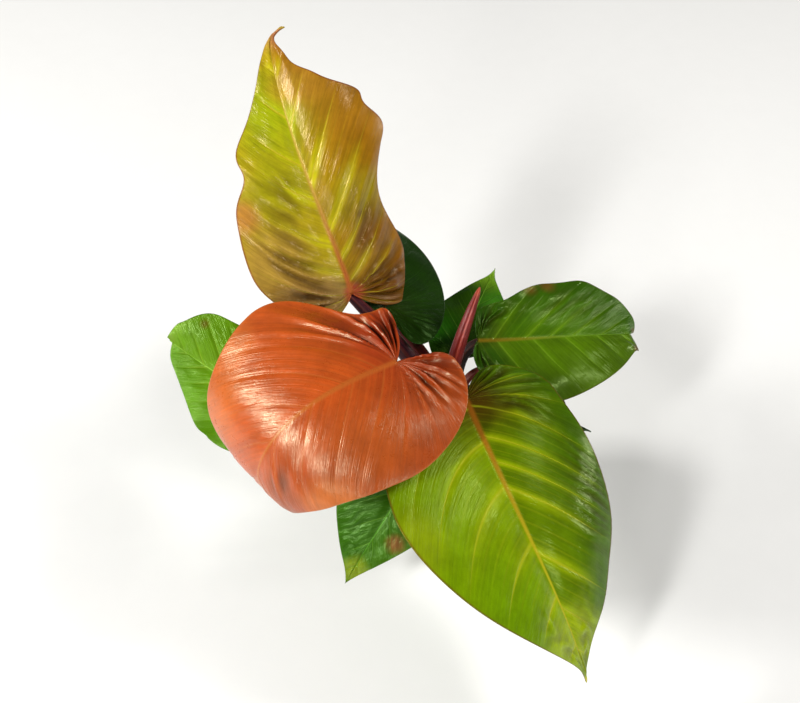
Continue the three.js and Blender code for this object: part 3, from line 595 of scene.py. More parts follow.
def leaf_relief(name, leaf, a, r, side, x, y):
    """How far the blade stands out of its smooth surface, in mm, and how much painted shade each fold's
    valley gets.
    """
    look = LOOKS[name]
    count = vein_count(look, x, y, side)
    gap = np.abs((count + 0.5) % 1 - 0.5) * 2
    vein_width, slow_wave, lump = 0.22, 0.6, 16
    body = ease(r, 0.02, 0.2) * ease(1 - r, 0, 0.25)
    height = look["quilt"] * (1 - np.exp(-((gap / vein_width) ** 2))) * body
    height += 0.2 * look["quilt"] * np.abs(np.sin(np.pi * count * 4)) * body
    seed = sum(map(ord, name))
    height += slow_wave * ripples(seed, a * 5, r * 1.5) * ease(r, 0, 0.5)
    across, ahead = x * leaf["length"] / lump, y * leaf["length"] / lump
    fold_shade = 0 * a
    for i, (place_side, at, spread, out, out_spread, number, steps, depth) in enumerate(look["crumples"]):
        if place_side != side:
            continue
        window = np.exp(-(((a - at) / spread) ** 2) - ((r - out) / out_spread) ** 2)
        window = window * ease(r, 0.02, 0.35) * ease(1 - r, -0.02, 0.07)
        ridge = folds(seed + 10 * i, count, r, number, steps)
        height += depth * window * (ridge - 0.4 + 0.12 * ripples(seed + 3 * i, across, ahead))
        # Painted shade: how much the skin is darkened in a fold's valley.
        fold_shade = np.maximum(fold_shade, window * ease(ridge, 0.45, 0.05) * min(1, depth / 2.4))
    reach = np.abs(x) * leaf["length"]
    rib_width, groove_at, groove_width = 1.6, 3.4, 2.2
    rib = np.exp(-((reach / rib_width) ** 2)) * (y >= 0) * (1 - ease(y, 0, 1)) ** 0.5
    groove = np.exp(-(((reach - groove_at) / groove_width) ** 2)) * (y >= 0) * (1 - ease(y, 0.2, 1))
    return height + 0.4 * rib - 0.2 * groove, fold_shade


def mesh_object(name, vertices, faces):
    """A piece whose place is in its mesh, in metres."""
    mesh = bpy.data.meshes.new(name)
    mesh.from_pydata([tuple(v) for v in vertices], [], faces)
    mesh.polygons.foreach_set("use_smooth", [True] * len(mesh.polygons))
    piece = bpy.data.objects.new(name, mesh)
    bpy.context.scene.collection.objects.link(piece)
    return piece


def blade_points(name, settings, rows, columns):
    """Every point of both halves of a blade once.

    Gives a row of values for each point, the number of the point at each row, column and side, and its
    vein count and place from midrib to margin there.
    """
    leaf = LEAVES[name]
    stations = midrib_stations(leaf)
    a, r = np.meshgrid(rows, columns, indexing="ij")
    start = vein_start(leaf, rows)
    values, numbers, index, marks = [], {}, {}, {}
    for side in (1, -1):
        place, normal, across, along = blade_surface(leaf, stations, a, r, side)
        normal[:, 0] = station_at(stations, start)[3]
        relief, fold_shade = leaf_relief(name, leaf, a, r, side, across, along)
        place = place + normal * settings.relief * relief[..., None]
        count = vein_count(LOOKS[name], across, along, side) + (0 if side > 0 else LEFT_COUNT)
        others = np.stack([r, along, np.abs(across) * leaf["length"], fold_shade], axis=-1)
        grid = np.concatenate([place, normal, others], axis=-1)
        for i, j in np.ndindex(a.shape):
            if i == 0 or (j == 0 and start[i] == 0):
                key = "base"
            elif i == len(rows) - 1:
                key = "tip"
            else:
                key = (i, 0) if j == 0 else (i, j, side)
            if key not in numbers:
                numbers[key] = len(values)
                values.append(grid[i, j])
            index[i, j, side] = numbers[key]
            marks[i, j, side] = (count[i, j], columns[j])
    return np.array(values), index, marks


def blade_faces(row_count, column_count, index, marks):
    """The faces of both halves seen from above, and the marks of their corners."""
    faces, corners = [], []
    for side in (1, -1):
        for i, j in np.ndindex(row_count - 1, column_count - 1):
            seen = {}
            for row, column in ((i, j), (i, j + 1), (i + 1, j + 1), (i + 1, j))[::side]:
                seen.setdefault(index[row, column, side], marks[row, column, side])
            if len(seen) > 2:
                faces.append(list(seen))
                corners.append(list(seen.values()))
    return faces, corners


def build_blade(name, settings):
    """One leaf's blade as a closed mesh with its veins, puckers and rounded margin."""
    leaf = LEAVES[name]
    rows = np.linspace(0, 1, settings.rows)
    by_midrib, by_margin = [0, 0.008, 0.018, 0.03, 0.045, 0.065, 0.09], [0.975, 0.99, 1]
    middle = np.linspace(0.12, 0.955, LOOKS[name].get("columns", 26))
    columns = np.concatenate([by_midrib, middle, by_margin])
    values, index, marks = blade_points(name, settings, rows, columns)
    points, normals = values[:, :3], values[:, 3:6]
    reach, along, offset, fold_shade = values[:, 6:].T

    # The upper face, and the lower one with the midrib standing out of it.
    edge = settings.edge / MM
    half_thickness = (BLADE["thickness"] + (edge - BLADE["thickness"]) * reach**3)[:, None] / 2
    midrib_width, taper = 2.4, 1 - 0.85 * np.clip(along, 0, 1)
    midrib = BLADE["midrib_depth"] * min(1, leaf["length"] / FULL_LENGTH) * taper
    midrib *= ease(along, -0.004, 0.02) * np.exp(-((offset / midrib_width) ** 2)) * ease(1 - along, 0, 0.04)
    upper = points + normals * half_thickness
    lower = points - normals * (half_thickness + midrib[:, None])
    faces, corners = blade_faces(len(rows), len(columns), index, marks)
    top, total = len(faces), len(points)
    faces += [[v + total for v in reversed(face)] for face in faces]
    corners += [corner[::-1] for corner in corners]

    # The rounded margin between them, bulging outward from the last column of points.
    last, rim_mark = len(columns) - 1, (0.5, 1)
    right, left = ([index[i, last, side] for i in range(len(rows))] for side in (1, -1))
    loop = right + left[::-1][1:-1]
    inward = {index[i, last, side]: index[i, last - 1, side] for side in (1, -1) for i in range(len(rows))}
    bulge = points[loop] - points[[inward[v] for v in loop]]
    bulge /= np.maximum(np.linalg.norm(bulge, axis=1, keepdims=True), 1e-6)
    bulge_share = 0.4
    rim = points[loop] + bulge * edge * bulge_share
    for i, v in enumerate(loop):
        after = (i + 1) % len(loop)
        w = loop[after]
        faces.append([v, 2 * total + i, 2 * total + after, w])
        faces.append([2 * total + i, v + total, w + total, 2 * total + after])
        corners.append([rim_mark] * 8)

    piece = mesh_object(f"blade_{name}", np.vstack([upper, lower, rim]) * MM, faces)
    mesh = piece.data
    layer = mesh.uv_layers.new(name="Veins")
    layer.data.foreach_set("uv", np.concatenate(corners).astype(np.float32).ravel())
    for key, value in (("along", along), ("offset", offset), ("fold_shade", fold_shade), ("reach", reach)):
        at_rim = np.ones(len(loop)) if key == "reach" else value[loop]
        layer = mesh.attributes.new(key, "FLOAT", "POINT")
        layer.data.foreach_set("value", np.concatenate([value, value, at_rim]).astype(np.float32))
    mesh.materials.append(leaf_material(name, settings, upper_face=True))
    mesh.materials.append(leaf_material(name, settings, upper_face=False))
    lower_face = [0] * top + [1] * top + [0] * (len(faces) - 2 * top)
    mesh.polygons.foreach_set("material_index", lower_face)
    return piece


def plug(socket, value):
    """Link a wire to an input, or set the input to a plain value."""
    if isinstance(value, Wire):
        value.tree.links.new(value.socket, socket)
    else:
        socket.default_value = value


def make(kind, inputs, tree=None, **settings):
    """A new node with its settings, in the tree that its inputs come from."""
    tree = tree or next(value.tree for value in inputs.values() if isinstance(value, Wire))
    made = tree.nodes.new(kind)
    for key, value in settings.items():
        setattr(made, key, value)
    for key, value in inputs.items():
        plug(made.inputs[key], value)
    return made


def wire(kind, inputs, output=0, tree=None, **settings):
    """One output of a new node."""
    return Wire(make(kind, inputs, tree, **settings).outputs[output])


def maths(operation, *values):
    return wire("ShaderNodeMath", dict(enumerate(values)), operation=operation)


class Wire:
    """The output of a node. Sums, products and powers of it add Math nodes to its tree."""

    def __init__(self, socket):
        self.socket = socket
        self.tree = socket.id_data

    def __add__(self, other):
        return maths("ADD", self, other)

    def __sub__(self, other):
        return maths("SUBTRACT", self, other)

    def __rsub__(self, other):
        return maths("SUBTRACT", other, self)

    def __mul__(self, other):
        return maths("MULTIPLY", self, other)

    def __truediv__(self, other):
        return maths("DIVIDE", self, other)

    def __pow__(self, other):
        return maths("POWER", self, other)

    def __abs__(self):
        return maths("ABSOLUTE", self)


def smooth(value, low, high, start=0.0, end=1.0):
    """start below low, end above high, and a smooth step between them."""
    inputs = {"Value": value, "From Min": low, "From Max": high, "To Min": start, "To Max": end}
    return wire("ShaderNodeMapRange", inputs, interpolation_type="SMOOTHSTEP")


def mix(share, first, second, blend="MIX"):
    """first at a share of 0, and second blended in as the share grows."""
    inputs = {0: share, 6: first, 7: second}
    return wire("ShaderNodeMix", inputs, 2, data_type="RGBA", blend_type=blend, clamp_factor=True)


def layered(color, *layers):
    """A colour with others over it, each by its own share."""
    for share, other in layers:
        color = mix(share, color, other)
    return color


def noise(place, scale, detail, roughness):
    inputs = {"Vector": place, "Scale": scale, "Detail": detail, "Roughness": roughness}
    return wire("ShaderNodeTexNoise", inputs)


def vector(x, y, z):
    return wire("ShaderNodeCombineXYZ", {"X": x, "Y": y, "Z": z})


def parts(whole):
    """The x, y and z of a vector."""
    return [Wire(socket) for socket in make("ShaderNodeSeparateXYZ", {0: whole}).outputs]


def stretched_noise(point, by, detail, roughness):
    """Noise at an x, y and z, with how fine it is along each."""
    return noise(vector(*(part * fineness for part, fineness in zip(point, by))), 1, detail, roughness)


def grey(value):
    return wire("ShaderNodeCombineColor", {0: value, 1: value, 2: value})


def bump(height, distance, strength, under=None):
    """A normal that makes height stand out, on top of the bumps under it."""
    inputs = {"Height": height, "Distance": distance, "Strength": strength}
    if under is not None:
        inputs["Normal"] = under
    return wire("ShaderNodeBump", inputs, "Normal")


def object_point(tree):
    return wire("ShaderNodeTexCoord", {}, "Object", tree)


def attribute(tree, name, output="Fac"):
    return wire("ShaderNodeAttribute", {}, output, tree, attribute_type="GEOMETRY", attribute_name=name)


def solid(color, brighter=1.0, lift=0.0):
    """A colour setting with an alpha, made brighter or darker."""
    return (*(min(1, c * brighter + lift) for c in color), 1.0)


def new_material(name):
    """An empty material and its node tree."""
    material = bpy.data.materials.new(name)
    material.use_nodes = True
    material.node_tree.nodes.clear()
    return material, material.node_tree


def skin(material, color, roughness, normal=None, **others):
    """Finish a material with one shader; others are inputs of it, with _ for each space."""
    inputs = {"Base Color": color, "Roughness": roughness}
    if normal is not None:
        inputs["Normal"] = normal
    inputs.update((name.replace("_", " "), value) for name, value in others.items())
    shader = make("ShaderNodeBsdfPrincipled", inputs, material.node_tree)
    make("ShaderNodeOutputMaterial", {"Surface": Wire(shader.outputs["BSDF"])})
    return material


def leaf_material(name, settings, upper_face):
    """A blade's skin, coloured from its midrib to its margin, with veins that follow its own vein lines."""
    leaf, look = LEAVES[name], LOOKS[name]
    material, tree = new_material(f"blade_{name}" if upper_face else f"blade_{name}_underside")
    count, reach, _ = parts(wire("ShaderNodeUVMap", {}, 0, tree, uv_map="Veins"))
    along, offset = attribute(tree, "along"), attribute(tree, "offset")
    place = object_point(tree)
    broad, hammered, grain = noise(place, 22, 3, 0.55), noise(place, 110, 2, 0.5), noise(place, 260, 3, 0.6)
    lines = noise(vector(count * 11, reach * 2, 0.5), 1, 4, 0.65)
    hairs = noise(vector(count * 26, reach * 4, 2.5), 1, 2, 0.5)

    # From the midrib's colour to the margin's, the latter reaching inward in bands between the main veins.
    is_left = maths("GREATER_THAN", count, LEFT_COUNT - 10)
    outer = mix(is_left, pigment(*look["right"]), pigment(*look["left"]))
    gap = maths("PINGPONG", count, 0.5) * 2.0
    wavy = smooth(reach, 0.08, 0.95) + (broad - 0.5) * 0.9
    wavy = (1.0 - wavy) * (smooth(gap, 0.04, 0.5) * look.get("bands", 0.3)) + wavy
    near_base = smooth(along, 0.2, -0.02) * smooth(reach, 0.7, 0.1)
    near_tip = smooth(along, look["tip_from"], 1.0, 0.0, 0.85)
    color = layered(
        pigment(*look["middle"]), (wavy, outer), (near_base * 0.8, pigment(*look["base"])),
        (near_tip, pigment(*look["tip"])))

    for side, at, out, radius, tint, strength in look["patches"]:
        spot = blade_surface(leaf, midrib_stations(leaf), np.array(at), np.array(out), side)[0] * MM
        away = wire("ShaderNodeVectorMath", {0: place, 1: tuple(spot)}, "Value", operation="DISTANCE")
        ragged = (broad - 0.5) * (radius * MM * 1.2) + away
        share = smooth(ragged, radius * MM * 1.15, radius * MM * 0.25, 0.0, strength)
        color = mix(share, color, pigment(*tint))

    # Fine lines along the veins, and mottling.
    color = mix(look["fine"] * 2, color, grey(lines * 1.2 + 0.4), "MULTIPLY")
    mottle = (grain * 0.36 + 0.82) * (noise(place, 48, 5, 0.65) * 1.5 + 0.25)
    color = mix(0.55, color, grey(mottle), "MULTIPLY")

    # The minor veins, the main side veins, the midrib, the margin line, and painted shade in the valleys of
    # the puckers.
    thin = smooth(reach, 0.0, 0.8, 0.13, 0.05)
    vein = smooth(gap / thin, 1.0, 0.0) * smooth(reach, 0.97, 0.35, 0.1, look["veins"])
    minor_gap = maths("PINGPONG", count * 4.0, 0.5) * 2.0
    minor = smooth(minor_gap, 0.3, 0.02, 0.0, 0.15) * smooth(reach, 0.95, 0.3)
    scale = min(1, leaf["length"] / FULL_LENGTH)
    rib_width = smooth(along, 0.0, 0.9, 2.5 * scale, 0.5 * scale)
    rib = smooth(offset / rib_width, 1.5, 0.2) * smooth(along, -0.012, 0.004)
    rib_base, rib_tip = look["midrib"]
    rib_color = mix(smooth(along, 0.0, 0.6), pigment(*rib_base), pigment(*rib_tip))
    rim = smooth(attribute(tree, "reach"), 0.975, 0.997, 0.0, look["rim"])
    color = layered(
        color, (minor, pigment(*look["vein"])), (vein, pigment(*look["vein"])), (rib, rib_color),
        (rim, pigment(*look["margin"])),
        # Painted shade in the valleys of the puckers: a darker copy of the base colour.
        (attribute(tree, "fold_shade") * 0.75, pigment(*(0.6 * c for c in look["base"]))))
    if not upper_face:
        color = mix(0.62, color, pigment(*look["under"]))

    level, white, dull = look.get("shine", (0.34, 0.22, 0))
    dull += settings.roughness - 0.08 + (0 if upper_face else 0.18)
    roughness = broad * 0.12 + (grain * 0.16 + dull - 0.06)
    tint = srgb(*look["right"])[:3]
    whites = zip(np.broadcast_to(white, 3), tint)
    mirrored = (*(w + (1 - w) * (c / max(tint)) ** 0.7 for w, c in whites), 1)
    sunk = vein * (-1.0 if upper_face else 1.5)
    deep = bump(sunk, 0.0005, 0.7, bump(hammered, 0.0004, 0.5))
    fine = bump(lines + hairs * 0.8, 0.00045, 0.7, deep)
    return skin(
        material, color, roughness, bump(grain, 0.00012, 0.3, fine), Specular_IOR_Level=level,
        Specular_Tint=mirrored)


def stalk_material(name, dark, light, roughness):
    """The smooth skin of a petiole, with streaks and specks along it and redder crests."""
    material, tree = new_material(name)
    ring = parts(attribute(tree, "ring", "Vector"))
    streaks = stretched_noise(ring, (5.0, 5.0, 4.0), 4, 0.6)
    fine = stretched_noise(ring, (16.0, 16.0, 9.0), 3, 0.6)
    specks = noise(object_point(tree), 900, 2, 0.5)
    crest = smooth(ring[1], -0.62, -0.8) * smooth(abs(ring[0]), 0.3, 0.55)
    color = layered(
        pigment(*dark), (smooth(streaks, 0.38, 0.66), pigment(*light)),
        (smooth(fine, 0.55, 0.75, 0.0, 0.35), pigment(*light)),
        (smooth(specks, 0.68, 0.76, 0.0, 0.25), pigment(170, 120, 90)), (crest * 0.25, pigment(150, 80, 70)))
    return skin(
        material, color, fine * 0.25 + (roughness - 0.1), bump(fine + streaks, 0.0004, 0.5),
        Specular_IOR_Level=0.22)


# The inputs of the two Geometry Nodes groups, by the kind of socket.
STALK_INPUTS = {
    "Vector": ("Start", "Start Handle", "End Handle", "End"),
    "Float": (
        "Start Radius", "End Radius", "Flattening", "Ridge", "Flare", "Scar Depth", "Scars", "Roundness",
        "Belly"),
    "Int": ("Steps", "Sides"),
    "Material": ("Material",),
}
STREWN_INPUTS = {
    "Geometry": ("Ground",),
    "Float": ("Density", "Smallest", "Largest", "Radius", "Roughness", "Tilt"),
    "Vector": ("Shape",),
    "Int": ("Seed", "Fineness"),
    "Material": ("Material",),
}


def node_group(name, inputs):
    """An empty Geometry Nodes group, what a modifier calls its inputs, and the inputs as wires."""
    tree = bpy.data.node_groups.new(name, "GeometryNodeTree")
    names = {}
    for kind, keys in inputs.items():
        for key in keys:
            socket = tree.interface.new_socket(name=key, in_out="INPUT", socket_type=f"NodeSocket{kind}")
            names[key] = socket.identifier
    tree.interface.new_socket(name="Geometry", in_out="OUTPUT", socket_type="NodeSocketGeometry")
    return tree, names, {socket.name: Wire(socket) for socket in tree.nodes.new("NodeGroupInput").outputs}


def kept_on(geometry, kind, value):
    """The geometry with a value kept on it, and the value that was kept."""
    keeper = geometry.tree.nodes.new("GeometryNodeCaptureAttribute")
    keeper.capture_items.new(kind, "Kept")
    plug(keeper.inputs["Geometry"], geometry)
    plug(keeper.inputs["Kept"], value)
    return Wire(keeper.outputs["Geometry"]), Wire(keeper.outputs["Kept"])


def show(geometry, material):
    """End a Geometry Nodes group with smooth shading and its material."""
    shaded = wire("GeometryNodeSetShadeSmooth", {"Geometry": geometry})
    make("NodeGroupOutput", {0: wire("GeometryNodeSetMaterial", {"Geometry": shaded, "Material": material})})


def stalk_tree(name, normals):
    """Geometry Nodes that sweep a ridged oval along a curve, for the petioles and the stem."""
    tree, names, given = node_group(name, STALK_INPUTS)
    ends = {key: given[key] for key in STALK_INPUTS["Vector"]}
    ends["Resolution"] = given["Steps"]
    path = wire("GeometryNodeCurvePrimitiveBezierSegment", ends, mode="POSITION")
    path = wire("GeometryNodeResampleCurve", {"Curve": path, "Count": given["Steps"]}, mode="COUNT")
    path = wire("GeometryNodeSetCurveNormal", {"Curve": path}, mode=normals)
    share = wire("GeometryNodeSplineParameter", {}, "Factor", tree)
    path, kept_share = kept_on(path, "FLOAT", share)

    lean = wire("ShaderNodeMapRange", {
        "Value": share, "To Min": given["Start Radius"], "To Max": given["End Radius"]})
    foot = (1.0 - share) ** 14.0
    knee = maths("SINE", share * math.pi) * given["Belly"]
    scar = (maths("COSINE", share * (given["Scars"] * (2 * math.pi))) * 0.5 + 0.5) ** 6.0
    swell = foot * given["Flare"] + 1.0 + knee - scar * given["Scar Depth"]
    round_end = smooth(share, 0.9, 1.0) ** 2.0 * given["Roundness"]
    path = wire("GeometryNodeSetCurveRadius", {"Curve": path, "Radius": lean * (swell - round_end)})

    circle = {"Resolution": given["Sides"], "Radius": 1.0}
    circle = wire("GeometryNodeCurvePrimitiveCircle", circle, mode="RADIUS")
    point = wire("GeometryNodeInputPosition", {}, 0, tree)
    circle, ring = kept_on(circle, "VECTOR", point)
    x, y, _ = parts(point)
    top = y * -1.0
    crest = smooth(top, 0.5, 0.72) * smooth(abs(x), 0.3, 0.55) * given["Ridge"]
    groove = smooth(top, 0.75, 1.0) * (given["Ridge"] * -1.2)
    grown = crest + groove + 1.0
    profile = wire("GeometryNodeSetPosition", {
        "Geometry": circle, "Position": vector(x * grown, y * given["Flattening"] * grown, 0.0)})

    swept = wire("GeometryNodeCurveToMesh", {
        "Curve": path, "Profile Curve": profile, "Fill Caps": True,
        "Scale": wire("GeometryNodeInputRadius", {}, 0, tree)})
    around, up, _ = parts(ring)
    stored = wire("GeometryNodeStoreNamedAttribute", {
        "Geometry": swept, "Name": "ring", "Value": vector(around, up, kept_share)},
        data_type="FLOAT_VECTOR", domain="POINT")
    show(wire("GeometryNodeRealizeInstances", {"Geometry": stored}), given["Material"])
    return tree, names


def face_outward(mesh):
    """Turn every face of a closed mesh outward."""
    shell = bmesh.new()
    shell.from_mesh(mesh)
    bmesh.ops.recalc_face_normals(shell, faces=shell.faces)
    shell.to_mesh(mesh)
    shell.free()


def grow(name, tree, names, values, ground=None):
    """A plain mesh piece from a Geometry Nodes tree with its inputs set."""
    piece = bpy.data.objects.new(name, ground or bpy.data.meshes.new(name))
    bpy.context.scene.collection.objects.link(piece)
    modifier = piece.modifiers.new("Nodes", "NODES")
    modifier.node_group = tree
    for key, value in values.items():
        modifier[names[key]] = value
    graph = bpy.context.evaluated_depsgraph_get()
    mesh = bpy.data.meshes.new_from_object(
        piece.evaluated_get(graph), preserve_all_data_layers=True, depsgraph=graph)
    piece.modifiers.clear()
    piece.data = mesh
    mesh.name = name
    face_outward(mesh)
    return piece


def stem_seat(heading, height):
    """The stem's centre, axis and outward direction at a height and a heading."""
    low, high = 0.0, 1.0
    for _ in range(30):
        middle = (low + high) / 2
        if bezier(STEM_PATH, middle)[2] < height:
            low = middle
        else:
            high = middle
    axis = bezier_slope(STEM_PATH, low)
    out = np.array([math.cos(math.radians(heading)), math.sin(math.radians(heading)), 0])
    out -= axis * (out @ axis)
    return bezier(STEM_PATH, low), axis, out / np.linalg.norm(out)


def petiole_path(leaf):
    """The four points of a petiole's curve in mm, with the ends run into the stem and under the blade."""
    petiole = leaf["petiole"]
    centre, axis, out = stem_seat(*petiole["from"])
    start = centre + out * (STEM_RADIUS + SEAT_GAP)
    leave, arrive = math.radians(petiole["leave"]), math.radians(petiole["arrive"])
    away = out * math.cos(leave) + axis * math.sin(leave)
    forward, _, up = midrib_axes(leaf, 0.0)
    into = forward * math.cos(arrive) + up * math.sin(arrive)
    end_radius = petiole["radius"][1] * PETIOLE_FLATTENING
    below = BLADE["thickness"] / 2 + SEAT_GAP + end_radius * math.cos(arrive)
    end = np.array(leaf["base"]) + forward * end_radius * math.sin(arrive) - up * below - into * SEAT_GAP
    first, second = petiole["reach"]
    into_stem, under_blade = 2.5, 0.5
    last = end + into * under_blade + up * SEAT_GAP
    return [start - away * into_stem, start + away * first, end - into * second, last]


def place_piece(piece, *nodes):
    """The piece rides with the plant and stands for its CAD nodes, which are hidden."""
    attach(piece, "root")
    if nodes:
        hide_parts(*nodes)
    return piece


def turned(profile, segments):
    """A closed solid of revolution from (radius, height) pairs in mm that start and end on the axis."""
    angles = 2 * np.pi * np.arange(segments) / segments
    vertices, rings, faces = [], [], []
    for radius, height in profile:
        if radius == 0:
            rings.append([len(vertices)] * segments)
            vertices.append((0, 0, height))
        else:
            rings.append(list(range(len(vertices), len(vertices) + segments)))
            vertices.extend((radius * math.cos(t), radius * math.sin(t), height) for t in angles)
    for low, high in zip(rings, rings[1:]):
        for i in range(segments):
            j = (i + 1) % segments
            corners = [low[i], low[j], high[j], high[i]]
            faces.append([v for k, v in enumerate(corners) if v not in corners[:k]])
    return np.array(vertices, float), faces


def rounded(profile, radius, steps=5):
    """The profile with each corner off the axis turned into a small arc."""
    smooth_profile = [profile[0]]
    for before, corner, after in zip(profile, profile[1:], profile[2:]):
        corner, ends = np.array(corner, float), []
        for other in (before, after):
            away = np.array(other, float) - corner
            reach = np.linalg.norm(away)
            ends.append(corner + away / reach * min(radius, 0.45 * reach))
        for t in np.linspace(0, 1, steps):
            smooth_profile.append(tuple((1 - t) ** 2 * ends[0] + 2 * (1 - t) * t * corner + t * t * ends[1]))
    return smooth_profile + [profile[-1]]


def pot_profile(height, rim):
    """The pot's outline in mm, from the middle of its underside round to the middle of its floor."""
    scale = rim / POT["rim"]
    base, neck = POT["base"] * scale, POT["neck"] * scale
    rim_floor = height - POT["rim_height"]
    wall, floor, hollow = POT["wall"], POT["floor"], 1.2
    return [
        (0, hollow), (base - 6, hollow), (base - 5, 0), (base - 1, 0), (base, 1.4), (neck, rim_floor),
        (rim, rim_floor + 0.4), (rim, height), (rim - wall, height), (rim - wall, rim_floor + 2.6),
        (neck - wall, rim_floor - 0.6), (base - wall, floor), (0, floor),
    ]


def build_pot(settings):
    """The plain nursery pot, open at the top, with its drain holes."""
    height, rim = settings.height / MM, settings.rim_radius / MM
    vertices, faces = turned(rounded(pot_profile(height, rim), POT["rounding"]), segments=144)
    piece = mesh_object("pot_shell", vertices * MM, faces)
    cutters, hole, drill_length = bmesh.new(), POT["hole_radius"] * MM, 0.02
    for i in range(POT["holes"]):
        angle = 2 * math.pi * i / POT["holes"]
        spot = Vector((math.cos(angle), math.sin(angle), 0)) * POT["hole_circle"] * MM
        made = bmesh.ops.create_cone(
            cutters, cap_ends=True, segments=32, radius1=hole, radius2=hole, depth=drill_length)
        bmesh.ops.translate(cutters, verts=made["verts"], vec=spot)
    mesh = bpy.data.meshes.new("drain_holes")
    cutters.to_mesh(mesh)
    cutters.free()
    drill = bpy.data.objects.new("drain_holes", mesh)
    bpy.context.scene.collection.objects.link(drill)
    cut = piece.modifiers.new("Drain holes", "BOOLEAN")
    cut.operation, cut.solver, cut.object = "DIFFERENCE", "EXACT", drill
    graph = bpy.context.evaluated_depsgraph_get()
    shell = bpy.data.meshes.new_from_object(piece.evaluated_get(graph), depsgraph=graph)
    piece.modifiers.clear()
    piece.data = shell
    bpy.data.objects.remove(drill)
    shell.polygons.foreach_set("use_smooth", [True] * len(shell.polygons))
    shell.set_sharp_from_angle(angle=math.radians(32))
    shell.materials.append(pot_material(settings))
    return piece


def pot_material(settings):
    """Dark plastic with scuffs, dirt near its foot and a chalky line near its rim."""
    material, tree = new_material("pot_plastic")
    place = object_point(tree)
    point = parts(place)
    cloud, grain = noise(place, 30, 4, 0.6), noise(place, 1400, 2, 0.5)
    scuffs = stretched_noise(point, (60, 60, 700), 3, 0.7)
    worn = smooth(scuffs, 0.6, 0.72, 0.0, 0.5)
    dirt = smooth(point[2], 0.02, 0.0, 0.0, 0.7) * smooth(cloud, 0.35, 0.65)
    chalk = smooth(point[2], 0.085, 0.1) * smooth(cloud, 0.48, 0.75, 0.0, 0.55)
    shade = layered(
        solid(settings.color), (worn, solid(settings.color, 2.4, 0.03)), (dirt, srgb(96, 84, 70)),
        (chalk, srgb(120, 116, 108)))
    dull = worn * 0.2 + (cloud * 0.3 + (settings.roughness - 0.13))
    return skin(material, shade, dull, bump(grain + scuffs, 0.0001, 0.4))


def soil_height(x, y):
    """How far the soil's surface stands above its mean height, in mm."""
    rough = 0.31 * x + 1.3, 0.27 * y - 0.6, 0.55 * (x - y)
    broad = 1.6 * (np.sin(rough[0]) * np.cos(rough[1]) + 0.6 * np.sin(rough[2]))
    return 0.8 * broad + 0.7 * ripples(5, x / 9, y / 9) + 0.45 * ripples(6, x / 3.1, y / 3.1)


def soil_radius(z):
    """The soil's radius at a height, a small gap inside the pot's wall."""
    rise = (z - POT["floor"]) / (POT["height"] - POT["rim_height"] - POT["floor"])
    return POT["base"] + (POT["neck"] - POT["base"]) * rise - POT["wall"] - SEAT_GAP


def build_soil(settings):
    """The potting soil with its lumpy surface and the hole that the stem stands in."""
    bottom, top = POT["floor"] + SEAT_GAP, SOIL_TOP
    hole, lip = SOIL_HOLE["radius"], SOIL_HOLE["radius"] - 0.6
    outer = soil_radius(top - 2)
    profile = [(0, bottom), (soil_radius(bottom) - 1, bottom), (soil_radius(bottom + 1), bottom + 1)]
    profile.append((outer, top - 2))
    for r in np.linspace(outer - 0.8, lip, 62):
        mound, slump = 2 * ease(outer - r, 0, outer - hole), 1.2 * ease(r, outer - 3, outer)
        profile.append((r, top + mound - slump))
    profile += [(lip, top - 4), (hole, top - 8), (hole, SOIL_HOLE["floor"]), (0, SOIL_HOLE["floor"])]
    vertices, faces = turned(profile, segments=220)
    x, y, z = vertices.T
    r = np.hypot(x, y)
    shown = ease(z, top - 3, top - 1) * ease(r, lip, hole + 2) * ease(outer - r, 0, 3)
    vertices[:, 2] += soil_height(x, y) * shown
    piece = mesh_object("soil_bed", vertices * MM, faces)
    piece.data.materials.append(soil_material(settings))
    return piece


def soil_material(settings):
    """Damp potting soil with pale and dark crumbs."""
    material, tree = new_material("soil")
    place = object_point(tree)
    lumps, crumbs = noise(place, 160, 5, 0.65), noise(place, 900, 3, 0.7)
    shade = layered(
        solid(settings.color), (smooth(lumps, 0.42, 0.68), solid(settings.color, 2.6, 0.01)),
        (smooth(crumbs, 0.6, 0.7, 0.0, 0.8), srgb(96, 72, 50)),
        (smooth(crumbs, 0.4, 0.28, 0.0, 0.8), srgb(14, 10, 8)))
    rough = bump(crumbs, 0.0007, 0.9, bump(lumps, 0.002, 0.9))
    return skin(material, shade, lumps * -0.3 + 1.02, rough)


